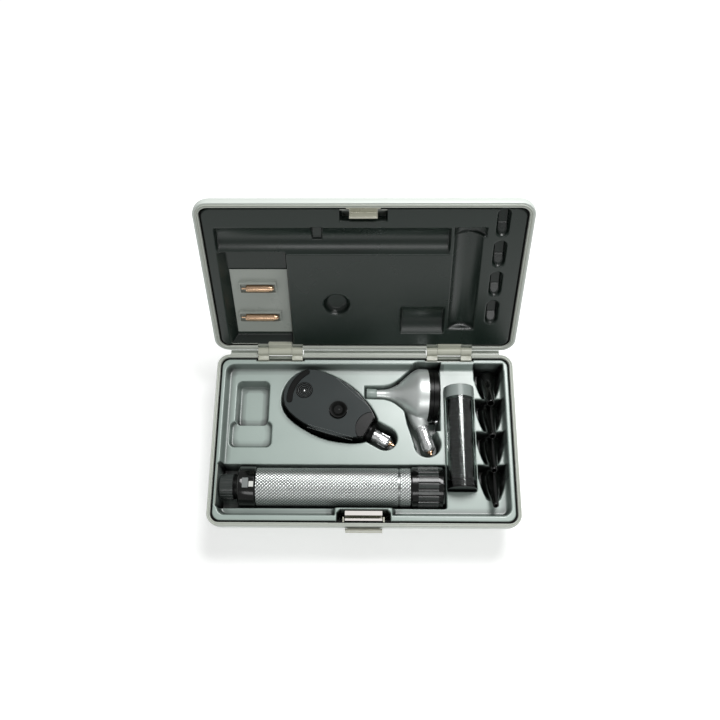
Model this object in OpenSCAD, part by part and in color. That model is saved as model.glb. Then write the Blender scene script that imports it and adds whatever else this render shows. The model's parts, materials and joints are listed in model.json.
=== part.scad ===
// Hinged carry case for an otoscope and ophthalmoscope set, standing open, with its contents stored.
// Units are millimetres. The origin is the centre of the base's underside and +Z is up.
// +X runs along the case to the specula, and +Y runs from the latch to the hinges.

/* [Case] */

// Outside width of the case
case_w = 225; // [223:0.5:240]
// Outside depth of the case, latch to hinges
case_d = 131; // [130:0.5:140]
// Height of the base, from the table to the rim
base_h = 41; // [40.5:0.5:46]
// Height of the lid when it is shut
lid_h = 16; // [15.5:0.5:22]
// Corner radius of the rim, seen from above
corner_r = 9; // [7:0.5:11]
// Wall thickness of both shells
shell_t = 1.8; // [1.5:0.1:2]
// Angle the lid stands open on its stop
lid_open = 114; // [114:1:114]

/* [Liners] */

// Sheet thickness of the two formed liners
liner_t = 1; // [0.8:0.1:1.1]
// Depth of the tray floor below the rim
tray_drop = 8; // [7.5:0.5:8.5]

/* [Handle] */

// Diameter of the black head sleeve and end cap
cap_d = 30; // [29:0.5:30]
// Diameter of the knurled tube
grip_d = 28; // [27.4:0.2:28.4]
// Diameter of one battery cell
cell_d = 25.4; // [25:0.1:25.6]
// Length of one battery cell
cell_len = 49.2; // [48.5:0.1:49.5]

/* [Instruments] */

// Diameter of the otoscope body at its window
oto_d = 41.6; // [41:0.2:42]
// Thickness of the ophthalmoscope head
oph_thick = 25; // [24:0.5:25.5]
// Diameter of the specula tube
vial_d = 22; // [21.4:0.2:22.2]
// Wide end diameter of a reusable speculum
spec_d = 15; // [14.4:0.2:15.2]

/* [Hidden] */

$fn = 48;

// Case lines
half_w = case_w / 2;
half_d = case_d / 2;
rim_t = 2.4;
rim_h = 4.2;
lid_gap = 0.3;
lid_lip = 1.6;
liner_gap = 1.5;
ledge_w = 3;
hinge_y = half_d + 2.2;
hinge_z = base_h + lid_gap / 2;
hinge_x = half_w - 48;
lid_z = base_h + lid_gap;
tray_z = base_h - tray_drop;
flange_z = base_h - 1;
lid_face_z = lid_z + 1;
// Extra width and depth over the drawn case, which move the outer columns with the walls
grow_x = half_w - 112.5;
grow_y = half_d - 65.5;
left_x = -grow_x;
right_x = grow_x;

// Handle lines
handle_y = -35.3 - grow_y;
handle_z = base_h - 10.8;
cap_r = cap_d / 2;
grip_r = grip_d / 2;
ring_r = 9.4;
ring_x0 = -105.2 - grow_x;
ring_x1 = -91.9 - grow_x;
head_x0 = -91.4 - grow_x;
head_x1 = -78.6 - grow_x;
grip_x0 = head_x1;
grip_x1 = 34.2 - grow_x;
cap_x0 = grip_x1 + 0.35;
cap_x1 = cap_x0 + 23.9;
handle_clear = 1.1;
button_z = cap_r + 0.55;

// Tube of disposable specula
vial_x = 71.5 + right_x;
vial_z = base_h - 5.3;
vial_r = vial_d / 2;
vial_y0 = -37.8;
vial_y1 = 40.2;
vial_cap_len = 6;

// Reusable specula
spec_x = 94 + right_x;
spec_z = base_h - 17;
spec_y = [50.6, 25.1, -0.4, -25.9];
spec_tilt = 38;
spec_len = 32;
spec_tip = [2.9, 2.6, 2.4, 2.1];
spec_r = spec_d / 2;

// Ophthalmoscope head lines, in its own axes: u runs to the neck, v runs to the back
oph_pos = [-19.4, 20.9];
oph_turn = -29.3;
oph_top = base_h + 0.2;
oph_bot = oph_top - oph_thick;
oph_neck_z = base_h - 15.6;
oph_gap = 2;

// Otoscope lines, in its own axes: s runs from the nose to the window, and the nose lies higher
oto_pos = [1.3, 37.6];
oto_turn = -0.4;
oto_tilt = 5;
oto_z = base_h - 16;
oto_nose_z = oto_z + 3.9;
oto_r = oto_d / 2;
oto_seat_s = 46.1;
oto_end_s = 54.4;
stub_turn = 18.3;
stub_root = 15.2;

// Shared small sizes
run_gap = 0.05;
seat_gap = 0.3;
rivet_r = 1.4;

// Rounded rectangle, drawn with its centre on the origin
module plan_round(w, d, r) {
  square([w - 2 * r, d], center = true);
  square([w, d - 2 * r], center = true);
  for (sx = [-1, 1]) {
    for (sy = [-1, 1]) {
      translate([sx * (w / 2 - r), sy * (d / 2 - r)]) circle(r);
    }
  }
}

module slab(w, d, r, z0, z1) {
  translate([0, 0, z0]) linear_extrude(z1 - z0) plan_round(w, d, r);
}

// Cylinder along +X from x0 to x1
module bar_x(x0, x1, r, fn = 64) {
  translate([x0, 0, 0]) rotate([0, 90, 0]) cylinder(h = x1 - x0, r = r, $fn = fn);
}

// Cylinder along +Y from y0 to y1
module bar_y(y0, y1, r, fn = 64) {
  translate([0, y0, 0]) rotate([-90, 0, 0]) cylinder(h = y1 - y0, r = r, $fn = fn);
}

module box(x0, x1, y0, y1, z0, z1) {
  translate([x0, y0, z0]) cube([x1 - x0, y1 - y0, z1 - z0]);
}

// Points of one rounded ring for the shells
corner_steps = 7;
function ring_pts(w, d, r, z) = [
  for (c = [[1, 1, 0], [-1, 1, 90], [-1, -1, 180], [1, -1, 270]])
    for (k = [0 : corner_steps])
      let (a = c[2] + 90 * k / corner_steps)
        [c[0] * (w / 2 - r) + r * cos(a), c[1] * (d / 2 - r) + r * sin(a), z]
];

ring_n = 4 * (corner_steps + 1);

// Solid through a list of rings, each [inset, corner radius, z], from the bottom to the top
module loft(rings) {
  m = len(rings);
  pts = [for (q = rings) for (p = ring_pts(case_w - 2 * q[0], case_d - 2 * q[0], q[1], q[2])) p];
  sides = [
    for (j = [0 : m - 2])
      for (i = [0 : ring_n - 1])
        let (a = j * ring_n + i, b = j * ring_n + (i + 1) % ring_n)
          each [[a, a + ring_n, b], [b, a + ring_n, b + ring_n]]
  ];
  bottom = [[for (i = [0 : ring_n - 1]) i]];
  top = [[for (i = [ring_n - 1 : -1 : 0]) (m - 1) * ring_n + i]];
  polyhedron(points = pts, faces = concat(sides, bottom, top), convexity = 4);
}

// The wall profile is a quarter ellipse: it falls away at once below the rim and meets a flat base
base_curve = base_h - rim_h;
base_in = 24;
curve_steps = 10;
function base_rings(t) = [
  for (k = [0 : curve_steps])
    let (a = 90 * k / curve_steps)
      [t + (base_in - 0.6 * t) * (1 - sin(a)), corner_r - 0.7 * t + 2 * (1 - sin(a)), t + (base_curve - t) * (1 - cos(a))]
];
lid_curve = lid_h - rim_h;
lid_in = 25;
lid_rise = lid_z + rim_h;
function lid_rings(t) = [
  for (k = [0 : curve_steps])
    let (a = 90 * k / curve_steps)
      [
        t - lid_lip + (lid_in + lid_lip - 0.6 * t) * (1 - cos(a)),
        corner_r + lid_lip - 0.7 * t + 3 * (1 - cos(a)),
        lid_rise + (lid_curve - t) * sin(a)
      ]
];

// Stands the lid open: everything in the lid is drawn shut and then turned about the hinges
module lid_open_pose() {
  translate([0, hinge_y, hinge_z]) rotate([-lid_open, 0, 0]) translate([0, -hinge_y, -hinge_z]) children();
}

// Base

module base_shell() {
  color([0.86, 0.88, 0.86]) difference() {
    loft(base_rings(0));
    difference() {
      loft(base_rings(shell_t));
      box(-half_w, half_w, -half_d, half_d, -1, shell_t);
    }
    translate([0, 0, base_curve - 0.4]) linear_extrude(1) plan_round(case_w - 2 * shell_t, case_d - 2 * shell_t, corner_r - 1.2);
    latch_wall_slot();
    rivet_holes();
  }
}

// Rim frame of the base, notched for the hinges, with a ledge that carries the liner
module base_rim() {
  color([0.82, 0.83, 0.78]) difference() {
    union() {
      difference() {
        slab(case_w, case_d, corner_r, base_curve, base_h);
        slab(case_w - 2 * rim_t, case_d - 2 * rim_t, corner_r - rim_t, base_curve - 1, base_h + 1);
      }
      difference() {
        slab(case_w - 2 * rim_t + 0.4, case_d - 2 * rim_t + 0.4, corner_r - rim_t, base_curve, flange_z - liner_t);
        slab(case_w - 2 * (rim_t + ledge_w), case_d - 2 * (rim_t + ledge_w), corner_r - rim_t - 1, base_curve - 1, base_h);
      }
    }
    hinge_notches(base_h - 3.4, base_h + 1);
    for (s = [-1, 1]) {
      box(s * hinge_x - hinge_half - 0.3, s * hinge_x + hinge_half + 0.3, leaf_y - 1.2, leaf_y + 1.4, base_curve - 1, base_h + 1);
    }
    box(-latch_w / 2 - 6, latch_w / 2 + 6, -half_d + rim_t - 0.2, -half_d + rim_t + 4, base_curve - 1, base_h + 1);
    latch_wall_slot();
    rim_groove(base_h);
  }
}

// Fine groove that parts the rim's two bright lines
module rim_groove(z) {
  difference() {
    slab(case_w - 2.2, case_d - 2.2, corner_r - 1.1, z - 0.35, z + 0.35);
    slab(case_w - 3.0, case_d - 3.0, corner_r - 1.5, z - 0.6, z + 0.6);
  }
}

// Room for the knuckles in both rims
knuckle_r = 3.2;
tab_w = 8;
bar_w = 17.6;
hinge_half = bar_w / 2 + tab_w + 0.2;
module hinge_notches(z0, z1) {
  for (s = [-1, 1]) {
    box(s * hinge_x - hinge_half - 0.3, s * hinge_x + hinge_half + 0.3, half_d - rim_t - 2.4, half_d + lid_lip + 1, z0, z1);
  }
}

// Tray cavity with its formed pockets. t grows every pocket outwards, for the sheet's far face
tray_w = 210.8 + 2 * grow_x;
tray_y0 = -57.4 - grow_y;
tray_y1 = 57.6 + grow_y;
module tray_cavity(t, top) {
  translate([0, (tray_y0 + tray_y1) / 2, tray_z - t]) {
    linear_extrude(top - tray_z + t) plan_round(tray_w + 2 * t, tray_y1 - tray_y0 + 2 * t, 6 + t);
  }
}

// Latch recess: the flange comes in round it at rim level
latch_w = 38.6;
latch_y1 = -53.4 - grow_y;
module latch_boss() {
  box(-latch_w / 2 - 1.4, latch_w / 2 + 1.4, tray_y0 - 2, latch_y1 + 1.4, tray_z - liner_t, flange_z);
}
module latch_recess() {
  c = 2.5;
  translate([0, 0, tray_z - 3]) linear_extrude(20) polygon([
    [-latch_w / 2 + c, latch_y1], [latch_w / 2 - c, latch_y1], [latch_w / 2, latch_y1 - c],
    [latch_w / 2, -half_d - 2], [-latch_w / 2, -half_d - 2], [-latch_w / 2, latch_y1 - c]
  ]);
}

// Keeps what lies below a height
module below(z) {
  intersection() {
    children();
    box(-140, 140, -140, 140, -60, z);
  }
}

// Stepped pocket at the left
module spare_pocket(t, top) {
  translate([left_x - 85, 29, 0]) slab(24.4 + 2 * t, 34.2 + 2 * t, 4 + t, tray_z - 10 - t, top);
  translate([left_x - 85.2, 4.2, 0]) slab(31.2 + 2 * t, 19.8 + 2 * t, 4 + t, tray_z - 3.6 - t, top);
}

// Handle pocket: a round bed with straight sides above it, and a shorter one for the dimmer ring
module handle_pocket(t, top) {
  bed_r = cap_r + handle_clear + t;
  ring_z = handle_z - ring_r - 1.2;
  below(top) translate([0, handle_y, handle_z + handle_clear - seat_gap]) bar_x(head_x0 - 1.6 - t, cap_x1 + 1.5 + t, bed_r, 96);
  box(head_x0 - 1.6 - t, cap_x1 + 1.5 + t, handle_y - bed_r, handle_y + bed_r, handle_z + handle_clear - seat_gap, top);
  box(ring_x0 - 1 - t, head_x0, handle_y - bed_r, handle_y + bed_r, ring_z - t, top);
}

module vial_pocket(t, top) {
  bed_r = vial_r + 0.5 + t;
  below(top) translate([vial_x, 0, vial_z + 0.5 - seat_gap]) bar_y(vial_y0 - 0.6 - t, vial_y1 + 0.6 + t, bed_r, 72);
  if (top > vial_z + 1) {
    box(vial_x - bed_r, vial_x + bed_r, vial_y0 - 0.6 - t, vial_y1 + 0.6 + t, vial_z + 0.2, top);
  }
}

// Half widths of the ophthalmoscope head along its axis
oph_half = [
  [-44.3, 2.6], [-43.6, 6.2], [-42.2, 9.9], [-40, 13.5], [-36.4, 16.9], [-31.4, 19.4], [-25, 20.9], [-18, 21.6],
  [-10, 21.7], [-3, 21.1], [4, 19.7], [11, 17.3], [17, 14.7], [21.4, 12.3], [24.6, 10.1], [26.4, 8.8]
];
function oph_side(g) = [
  for (i = [0 : len(oph_half) - 1])
    let (
      a = oph_half[max(i - 1, 0)],
      b = oph_half[min(i + 1, len(oph_half) - 1)],
      d = b - a,
      n = [-d[1], d[0]] / norm(d)
    )
      oph_half[i] + g * n
];
module oph_plan(g) {
  side = oph_side(g);
  last = len(side) - 1;
  polygon(concat(side, [for (i = [last : -1 : 0]) [side[i][0], -side[i][1]]]));
}
module oph_place() {
  translate([oph_pos[0], oph_pos[1], 0]) rotate([0, 0, oph_turn]) children();
}
module oph_pocket(t, top) {
  oph_place() {
    translate([0, 0, oph_bot - seat_gap - t]) linear_extrude(top - oph_bot + seat_gap + t) oph_plan(oph_gap + t);
    translate([0, 0, oph_neck_z - 9.4 - t]) linear_extrude(top - oph_neck_z + 9.4 + t) {
      translate([24, -8.9 - t]) square([16.2, 17.8 + 2 * t]);
      translate([40.2, 0]) circle(8.9 + t);
    }
  }
}

// Otoscope body radius along its axis
oto_shape = [
  [7.9, 3.4], [14, 4], [18, 5], [22, 7], [26, 10.2], [30, 14], [34, 17.6], [37.4, 20], [40, oto_r], [oto_seat_s, oto_r]
];
module oto_place() {
  translate([oto_pos[0], oto_pos[1], oto_nose_z]) rotate([0, oto_tilt, oto_turn]) children();
}
// Body of revolution about the otoscope's axis, from points [along, radius]
module turned(pts, fn = 64) {
  rotate([0, 90, 0]) rotate_extrude($fn = fn) polygon([for (p = pts) [p[1], p[0]]]);
}
// Outline of its pocket, a little outside the body
function oto_line(g) = [
  [-1.2 - g, 0], [-1.2 - g, 4.8 + g], [13.5, 5.2 + g], [18, 6.3 + g], [22, 8.4 + g], [26, 11.5 + g], [30, 15.3 + g],
  [34, 18.7 + g], [37.6, 21 + g], [40, oto_r + 0.9 + g], [oto_end_s + 1.3 + g, oto_r + 0.9 + g], [oto_end_s + 1.3 + g, 0]
];
module oto_pocket(t, top) {
  lift = 0.9 - seat_gap;
  low = oto_line(t);
  below(oto_z + 1) translate([0, 0, lift]) oto_place() turned(low, 72);
  translate([oto_pos[0], oto_pos[1], oto_z + 0.4]) rotate([0, 0, oto_turn]) linear_extrude(top - oto_z - 0.4) {
    polygon(concat(low, [for (i = [len(low) - 2 : -1 : 1]) [low[i][0], -low[i][1]]]));
  }
  // Well of the plug, with room for a fingertip beside it
  well_r = 9.8 + t;
  well_c = [47.2, -3];
  translate([0, 0, oto_z - 9.4 - t]) linear_extrude(top - oto_z + 9.4 + t) polygon(concat(
    [for (a = [180 : 12 : 360]) well_c + well_r * [cos(a), sin(a)]],
    [[54.9 + t, 4.8], [53.6 + t, 7.6 - t], [56.8 + t, 7.6 - t], [56.8 + t, 26.5]],
    [[29.2 - t, 26.5], [30.3 - t, 22.7], [32.4 - t, 12.5], [35 - t, 4.7]]
  ));
}

// Shield shaped pocket of one reusable speculum, with a floor that slopes with the cone
spec_side = [[7.0, -6.4], [-5.1, -6.4], [-8.7, -3.3], [-11.5, -0.2], [-16.8, 6.2], [-20.4, 10]];
spec_half = [[7.0, 10.1], [-2.4, 10.1], [-4.6, 9.3], [-9, 8.2], [-13, 6.9], [-17, 5.3], [-20.4, 4]];
module spec_pocket(i, t, top) {
  y = spec_y[i];
  intersection() {
    translate([spec_x + 12, y, spec_z]) rotate([90, 0, -90]) linear_extrude(24) polygon(concat(
      [for (p = spec_side) [-p[0] - (p[0] > 0 ? t : 0), p[1] - t * (p[0] < -5.1 ? 1.5 : 1)]],
      [[20.4, top - spec_z], [-7.0 - t, top - spec_z]]
    ));
    translate([spec_x, y, spec_z - 12]) linear_extrude(top - spec_z + 12) polygon(concat(
      [for (p = spec_half) [p[1] + t, p[0] + (p[0] > 6 ? t : 0)]],
      [for (k = [len(spec_half) - 1 : -1 : 0]) [-spec_half[k][1] - t, spec_half[k][0] + (k == 0 ? t : 0)]]
    ));
  }
}

module pockets(t, top) {
  spare_pocket(t, top);
  handle_pocket(t, top);
  vial_pocket(t, top);
  oph_pocket(t, top);
  oto_pocket(t, top);
  for (i = [0 : 3]) {
    spec_pocket(i, t, top);
  }
}

module base_liner() {
  flange_w = case_w - 2 * (rim_t + liner_gap);
  flange_d = case_d - 2 * (rim_t + liner_gap);
  color([0.62, 0.67, 0.65]) difference() {
    union() {
      slab(flange_w, flange_d, corner_r - rim_t - 0.2, flange_z - liner_t, flange_z);
      tray_cavity(liner_t, flange_z);
      pockets(liner_t, tray_z - liner_t / 2);
    }
    difference() {
      tray_cavity(0, base_h + 4);
      latch_boss();
    }
    pockets(0, base_h + 4);
    latch_recess();
    hinge_notches(tray_z + 2, base_h + 2);
    for (s = [-1, 1]) {
      box(s * hinge_x - hinge_half - 1.2, s * hinge_x + hinge_half + 1.2, 60.4 + grow_y, half_d, tray_z + 2, base_h + 2);
    }
  }
}

// Hinges

leaf_y = half_d - rim_t - 1.2;
module knuckle(x0, x1, r) {
  difference() {
    translate([0, hinge_y, hinge_z]) bar_x(x0, x1, r, 40);
    translate([0, hinge_y, hinge_z]) bar_x(x0 - 1, x1 + 1, 1.1 + run_gap, 32);
  }
}

// Base leaf: two outer knuckles carried on a plate that is riveted inside the back wall
module hinge_base(cx) {
  difference() {
    union() {
      for (s = [-1, 1]) {
        x0 = cx + s * (bar_w / 2 + 0.15 + tab_w / 2) - tab_w / 2;
        knuckle(x0, x0 + tab_w, knuckle_r);
        box(x0, x0 + tab_w, leaf_y, hinge_y - 2.2, base_h - 3.1, base_h - 0.1);
        box(x0, x0 + tab_w, leaf_y - 1, leaf_y, base_h - 12, base_h - 0.1);
      }
      box(cx - hinge_half + 0.2, cx + hinge_half - 0.2, leaf_y - 1, leaf_y, base_h - 12, base_h - 4.6);
    }
    translate([0, hinge_y, hinge_z]) bar_x(cx - 20, cx + 20, 1.1 + run_gap, 32);
    rivet_holes();
  }
}
module hinge_base_left() {
  color([0.84, 0.84, 0.8]) hinge_base(-hinge_x);
}
module hinge_base_right() {
  color([0.84, 0.84, 0.8]) hinge_base(hinge_x);
}

// Lid leaf: one middle knuckle on a plate riveted inside the lid's back wall
module hinge_lid(cx) {
  lid_open_pose() difference() {
    union() {
      knuckle(cx - bar_w / 2, cx + bar_w / 2, knuckle_r - 0.25);
      box(cx - bar_w / 2, cx + bar_w / 2, leaf_y, hinge_y - 2.2, lid_z + 0.1, lid_z + 2.9);
      box(cx - bar_w / 2, cx + bar_w / 2, leaf_y - 1, leaf_y, lid_z + 0.1, lid_z + 7.4);
    }
    translate([0, hinge_y, hinge_z]) bar_x(cx - 20, cx + 20, 1.1 + run_gap, 32);
  }
}
module hinge_lid_left() {
  color([0.84, 0.84, 0.8]) hinge_lid(-hinge_x);
}
module hinge_lid_right() {
  color([0.84, 0.84, 0.8]) hinge_lid(hinge_x);
}

module hinge_pins() {
  color([0.7, 0.7, 0.68]) for (s = [-1, 1]) {
    translate([0, hinge_y, hinge_z]) bar_x(s * hinge_x - hinge_half + 0.1, s * hinge_x + hinge_half - 0.1, 1.1, 32);
  }
}

rivet_z = base_h - 8.4;
module rivet_line(r, y0, y1) {
  for (s = [-1, 1]) {
    for (k = [-1, 1]) {
      translate([s * hinge_x + k * 12.6, 0, rivet_z]) bar_y(y0, y1, r, 24);
    }
  }
}
module rivet_holes() {
  rivet_line(rivet_r, leaf_y - 3, half_d + 2);
}
module hinge_rivets() {
  color([0.75, 0.75, 0.72]) {
    rivet_line(rivet_r, leaf_y - 1.2, half_d - 0.4);
    rivet_line(rivet_r + 1, half_d + 0.02, half_d + 0.8);
    rivet_line(rivet_r, half_d - 0.5, half_d + 0.5);
    rivet_line(rivet_r + 0.8, leaf_y - 1.7, leaf_y - 1.02);
  }
}

// Latch

pin_y = -half_d + 3.6;
pin_z = base_h - 8.6;
lever_w = 26.8;
module latch_wall_slot() {
  box(-lever_w / 2 + 1.5, lever_w / 2 - 1.5, -half_d - 3, -half_d + rim_t + 2, pin_z - 3.6, pin_z + 3.4);
}

// Two ears on a plate behind the front wall hold the lever's pin
module latch_bracket() {
  ear_x = lever_w / 2 + 0.5;
  color([0.8, 0.8, 0.77]) difference() {
    union() {
      for (s = [-1, 1]) {
        box(s > 0 ? ear_x : -ear_x - 1.1, s > 0 ? ear_x + 1.1 : -ear_x, -half_d + 2.9, -half_d + 6.6, pin_z - 4.5, base_h - 0.9);
      }
      box(-ear_x - 1.1, ear_x + 1.1, -half_d + 2.9, -half_d + 6.6, pin_z - 5.4, pin_z - 4.4);
    }
    translate([0, pin_y + 1.2, pin_z]) bar_x(-30, 30, 0.9 + run_gap, 24);
  }
}

module latch_pin() {
  color([0.7, 0.7, 0.68]) translate([0, pin_y + 1.2, pin_z]) bar_x(-lever_w / 2 - 2.2, lever_w / 2 + 2.2, 0.9, 24);
}

// Lever: thumb plate outside, web through the wall, and inside a plate and the bar that takes the catch
module latch_lever() {
  w = lever_w / 2;
  color([0.72, 0.72, 0.66]) difference() {
    union() {
      box(-w, w, -half_d - 2.4, -half_d - 0.9, pin_z - 6.8, pin_z + 4);
      box(-w + 1.9, w - 1.9, -half_d - 1.4, pin_y + 1.2, pin_z - 1.9, pin_z + 1.9);
      box(-w, w, pin_y + 0.4, pin_y + 2, pin_z, base_h - 1.1);
      translate([0, pin_y + 1.2, pin_z]) bar_x(-w, w, 1.9, 40);
      box(-w, w, pin_y + 0.4, latch_y1 - 1, pin_z - 1.9, pin_z - 0.9);
      box(-w, w, latch_y1 - 2, latch_y1 - 1, pin_z - 1.9, base_h - 1.5);
      box(-w, w, -57.6 - grow_y, latch_y1 - 1, base_h - 2.5, base_h - 1.5);
    }
    translate([0, pin_y + 1.2, pin_z]) bar_x(-30, 30, 0.9 + run_gap, 24);
  }
}

// Leaf spring under the lever
module latch_spring() {
  color([0.6, 0.62, 0.62]) {
    box(-5, 5, -half_d + 2.9, latch_y1 - 1.4, pin_z - 4.3, pin_z - 3.9);
    box(-5, 5, latch_y1 - 1.8, latch_y1 - 1.4, pin_z - 3.9, pin_z - 2.2);
  }
}

// Catch in the lid: a plate behind the rim with a strip that hangs into the latch and a lip at its foot
module lid_catch() {
  w = 9.4;
  color([0.8, 0.8, 0.74]) lid_open_pose() {
    box(-w - 2, w + 2, -half_d + rim_t + 0.1, -half_d + rim_t + 1.1, lid_z + 0.4, lid_z + 5);
    box(-w, w, -half_d + rim_t + 0.1, -58.6 - grow_y, lid_z + 0.4, lid_z + 1.4);
    box(-w, w, -59.4 - grow_y, -58.6 - grow_y, base_h - 4.4, lid_z + 1.4);
    box(-w, w, -59.4 - grow_y, -58 - grow_y, base_h - 4.4, base_h - 3.6);
  }
}

// Lid

// Its lip stands out past the rim frame and wraps it
module lid_shell() {
  color([0.86, 0.88, 0.86]) lid_open_pose() difference() {
    loft(concat([[-lid_lip, corner_r + lid_lip, lid_z + 0.5]], lid_rings(0)));
    loft(lid_rings(shell_t));
    slab(case_w, case_d, corner_r, lid_z - 1, lid_rise);
    hinge_notches(lid_z - 1, lid_rise - 0.4);
  }
}

module lid_rim() {
  color([0.82, 0.83, 0.78]) lid_open_pose() difference() {
    union() {
      difference() {
        slab(case_w, case_d, corner_r, lid_z, lid_rise);
        slab(case_w - 2 * rim_t, case_d - 2 * rim_t, corner_r - rim_t, lid_z - 1, lid_rise + 1);
      }
      difference() {
        slab(case_w - 2 * rim_t + 0.4, case_d - 2 * rim_t + 0.4, corner_r - rim_t, lid_face_z + liner_t, lid_rise);
        slab(case_w - 2 * (rim_t + ledge_w), case_d - 2 * (rim_t + ledge_w), corner_r - rim_t - 1, lid_z, lid_rise + 1);
      }
    }
    hinge_notches(lid_z - 1, lid_z + 3.3);
    rim_groove(lid_z);
    box(-12, 12, -half_d + rim_t - 0.1, -half_d + rim_t + ledge_w + 0.2, lid_z - 1, lid_rise + 1);
    box(right_x + 88.6, right_x + 98.2, -half_d + rim_t - 0.1, -half_d + rim_t + ledge_w + 0.2, lid_face_z, lid_rise + 1);
    box(left_x - 101.3, left_x - 52.9, half_d - rim_t - ledge_w - 0.2, half_d - rim_t - 1.5, lid_face_z, lid_rise + 1);
    for (s = [-1, 1]) {
      box(s * hinge_x - bar_w / 2 - 0.4, s * hinge_x + bar_w / 2 + 0.4, half_d - rim_t - 2.4, half_d - rim_t + 0.2, lid_z - 1, lid_rise + 1);
    }
  }
}

// Recesses of the lid liner, drawn shut. t grows them, for the sheet's far face
module lid_recesses(t) {
  translate([0, handle_y, handle_z]) bar_x(-101.6 + left_x - t, cap_x1 + 0.6 + t, cap_r + 1.5 + t, 96);
  box(-36 - t, -28 + t, handle_y - 11.2 - t, handle_y + 1.4 + t, lid_z - 3, lid_face_z + 6 + t);
  translate([vial_x, 0, vial_z]) bar_y(-46.4 - t, vial_y1 + 5.3 + t, vial_r + 1.1 + t, 72);
  translate([vial_x + 1, 0, vial_z]) bar_y(-46.4 - t, -39 + t, vial_r + 2.3 + t, 72);
  translate([-20.2, 21.6, lid_z - 3]) cylinder(h = lid_face_z + 2.2 - lid_z + t + 3, r = 9.5 + t);
  translate([-20.2, 21.6, lid_face_z + 2.2 + t]) cylinder(h = 3, r1 = 9.5 + t, r2 = 6.8 + t);
  translate([0, oto_pos[1] - 0.8, oto_z + 0.3]) bar_x(26.5 - t, 58.9 + t, oto_r + 1.1 + t, 96);
  for (i = [0 : 3]) {
    slot_recess(93.4 + right_x, [28.6, 2, -24.6, -50.6][i], t);
  }
  blister_recess(t);
}

// Oblong recess over a speculum tip, with a floor that rises at the hinge end
module slot_recess(x, y, t) {
  intersection() {
    translate([x, y, lid_z - 3]) linear_extrude(14) {
      square([8.3 + 2 * t, 13.4], center = true);
      for (s = [-1, 1]) {
        translate([0, s * 6.7]) circle(4.15 + t);
      }
    }
    translate([x - 6, y, 0]) rotate([90, 0, 90]) linear_extrude(12) polygon([
      [-12, lid_z - 4], [12, lid_z - 4], [12, lid_face_z + 1 + t], [3, lid_face_z + 6 + t], [-12, lid_face_z + 7.2 + t]
    ]);
  }
}

// Pocket of the spare lamp strip: steep walls, sloped ones at the left and at the hinge side
module blister_recess(t) {
  x0 = left_x - 100;
  y1 = 60.6 + grow_y;
  ceil_z = lid_face_z + 6.9;
  intersection() {
    translate([x0 - 4, 0, 0]) rotate([90, 0, 90]) linear_extrude(60) polygon([
      [-25 - t, lid_z - 4], [y1 + 2.5 + t, lid_z - 4], [y1 - 3.8 + t, ceil_z + t], [-25 - t, ceil_z + t]
    ]);
    translate([0, case_d, 0]) rotate([90, 0, 0]) linear_extrude(2 * case_d) polygon([
      [x0 - 2.3 - t, lid_z - 4], [left_x - 54.4 + t, lid_z - 4], [left_x - 54.4 + t, ceil_z + t], [x0 + 3.2 - t, ceil_z + t]
    ]);
  }
}

module lid_liner() {
  flange_w = case_w - 2 * (rim_t + liner_gap);
  flange_d = case_d - 2 * (rim_t + liner_gap);
  color([0.2, 0.22, 0.2]) lid_open_pose() difference() {
    union() {
      slab(flange_w, flange_d, corner_r - rim_t - 0.2, lid_face_z, lid_face_z + liner_t);
      intersection() {
        lid_recesses(liner_t);
        box(-half_w, half_w, -half_d, half_d, lid_face_z, lid_z + 20);
      }
    }
    lid_recesses(0);
    box(-15.8, 15.8, -half_d, -52 - grow_y, lid_z - 2, lid_z + 20);
    for (s = [-1, 1]) {
      box(s * hinge_x - bar_w / 2 - 0.8, s * hinge_x + bar_w / 2 + 0.8, leaf_y - 1.4, half_d, lid_z - 2, lid_z + 20);
    }
  }
}

// Battery handle, lying along X

module at_handle() {
  translate([0, handle_y, handle_z]) children();
}

module handle_tube() {
  color([0.78, 0.8, 0.8]) at_handle() difference() {
    bar_x(grip_x0, grip_x1, grip_r);
    bar_x(grip_x0 - 1, grip_x1 + 1, cell_d / 2 + 0.3);
    difference() {
      bar_x(grip_x1 - 9.7, grip_x1 - 7.7, grip_r + 1);
      bar_x(grip_x1 - 11, grip_x1, grip_r - 0.5);
    }
  }
}

// Black head: sleeve with a socket for the instrument, a spigot for the dimmer ring, and a button well
module handle_head() {
  color([0.05, 0.05, 0.05]) at_handle() difference() {
    union() {
      turned([[head_x0, 0], [head_x0, cap_r - 1], [head_x0 + 1, cap_r], [head_x1 - 0.8, cap_r], [head_x1, cap_r - 0.6], [head_x1, 0]]);
      bar_x(head_x1 - 1, head_x1 + spigot_len, cell_d / 2 + 0.3 - run_gap);
      bar_x(ring_x0 + 1.6, head_x0 + 1, 7);
    }
    bar_x(ring_x0, head_x1 + 1, 5.4, 40);
    bar_x(head_x1, head_x1 + 8, 9, 40);
    translate([head_x0 + 3.9, 0, 0]) box(-0.15, 4.45, -4.05, 3.45, cap_r - 3, cap_r + 2);
    translate([head_x0 + 8.6, 0, 0]) box(0, 3.4, -3.2, 0.8, cap_r - 0.8, cap_r + 2);
  }
}

// Spring contact in the bottom of the socket
module handle_contact() {
  color([0.75, 0.6, 0.25]) at_handle() {
    turned([[head_x1 + 1, 0], [head_x1 + 1, 5.35], [head_x1 - 0.2, 5.35], [head_x1 - 0.2, 2], [head_x1 - 5, 2], [head_x1 - 6, 1.2], [head_x1 - 6, 0]], 40);
  }
}

module index_mark() {
  color([0.92, 0.92, 0.9]) at_handle() {
    translate([head_x0 + 8.6, 0, 0]) box(0, 3.4, -3.2, 0.8, cap_r - 0.8, cap_r + 0.1);
  }
}

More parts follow.
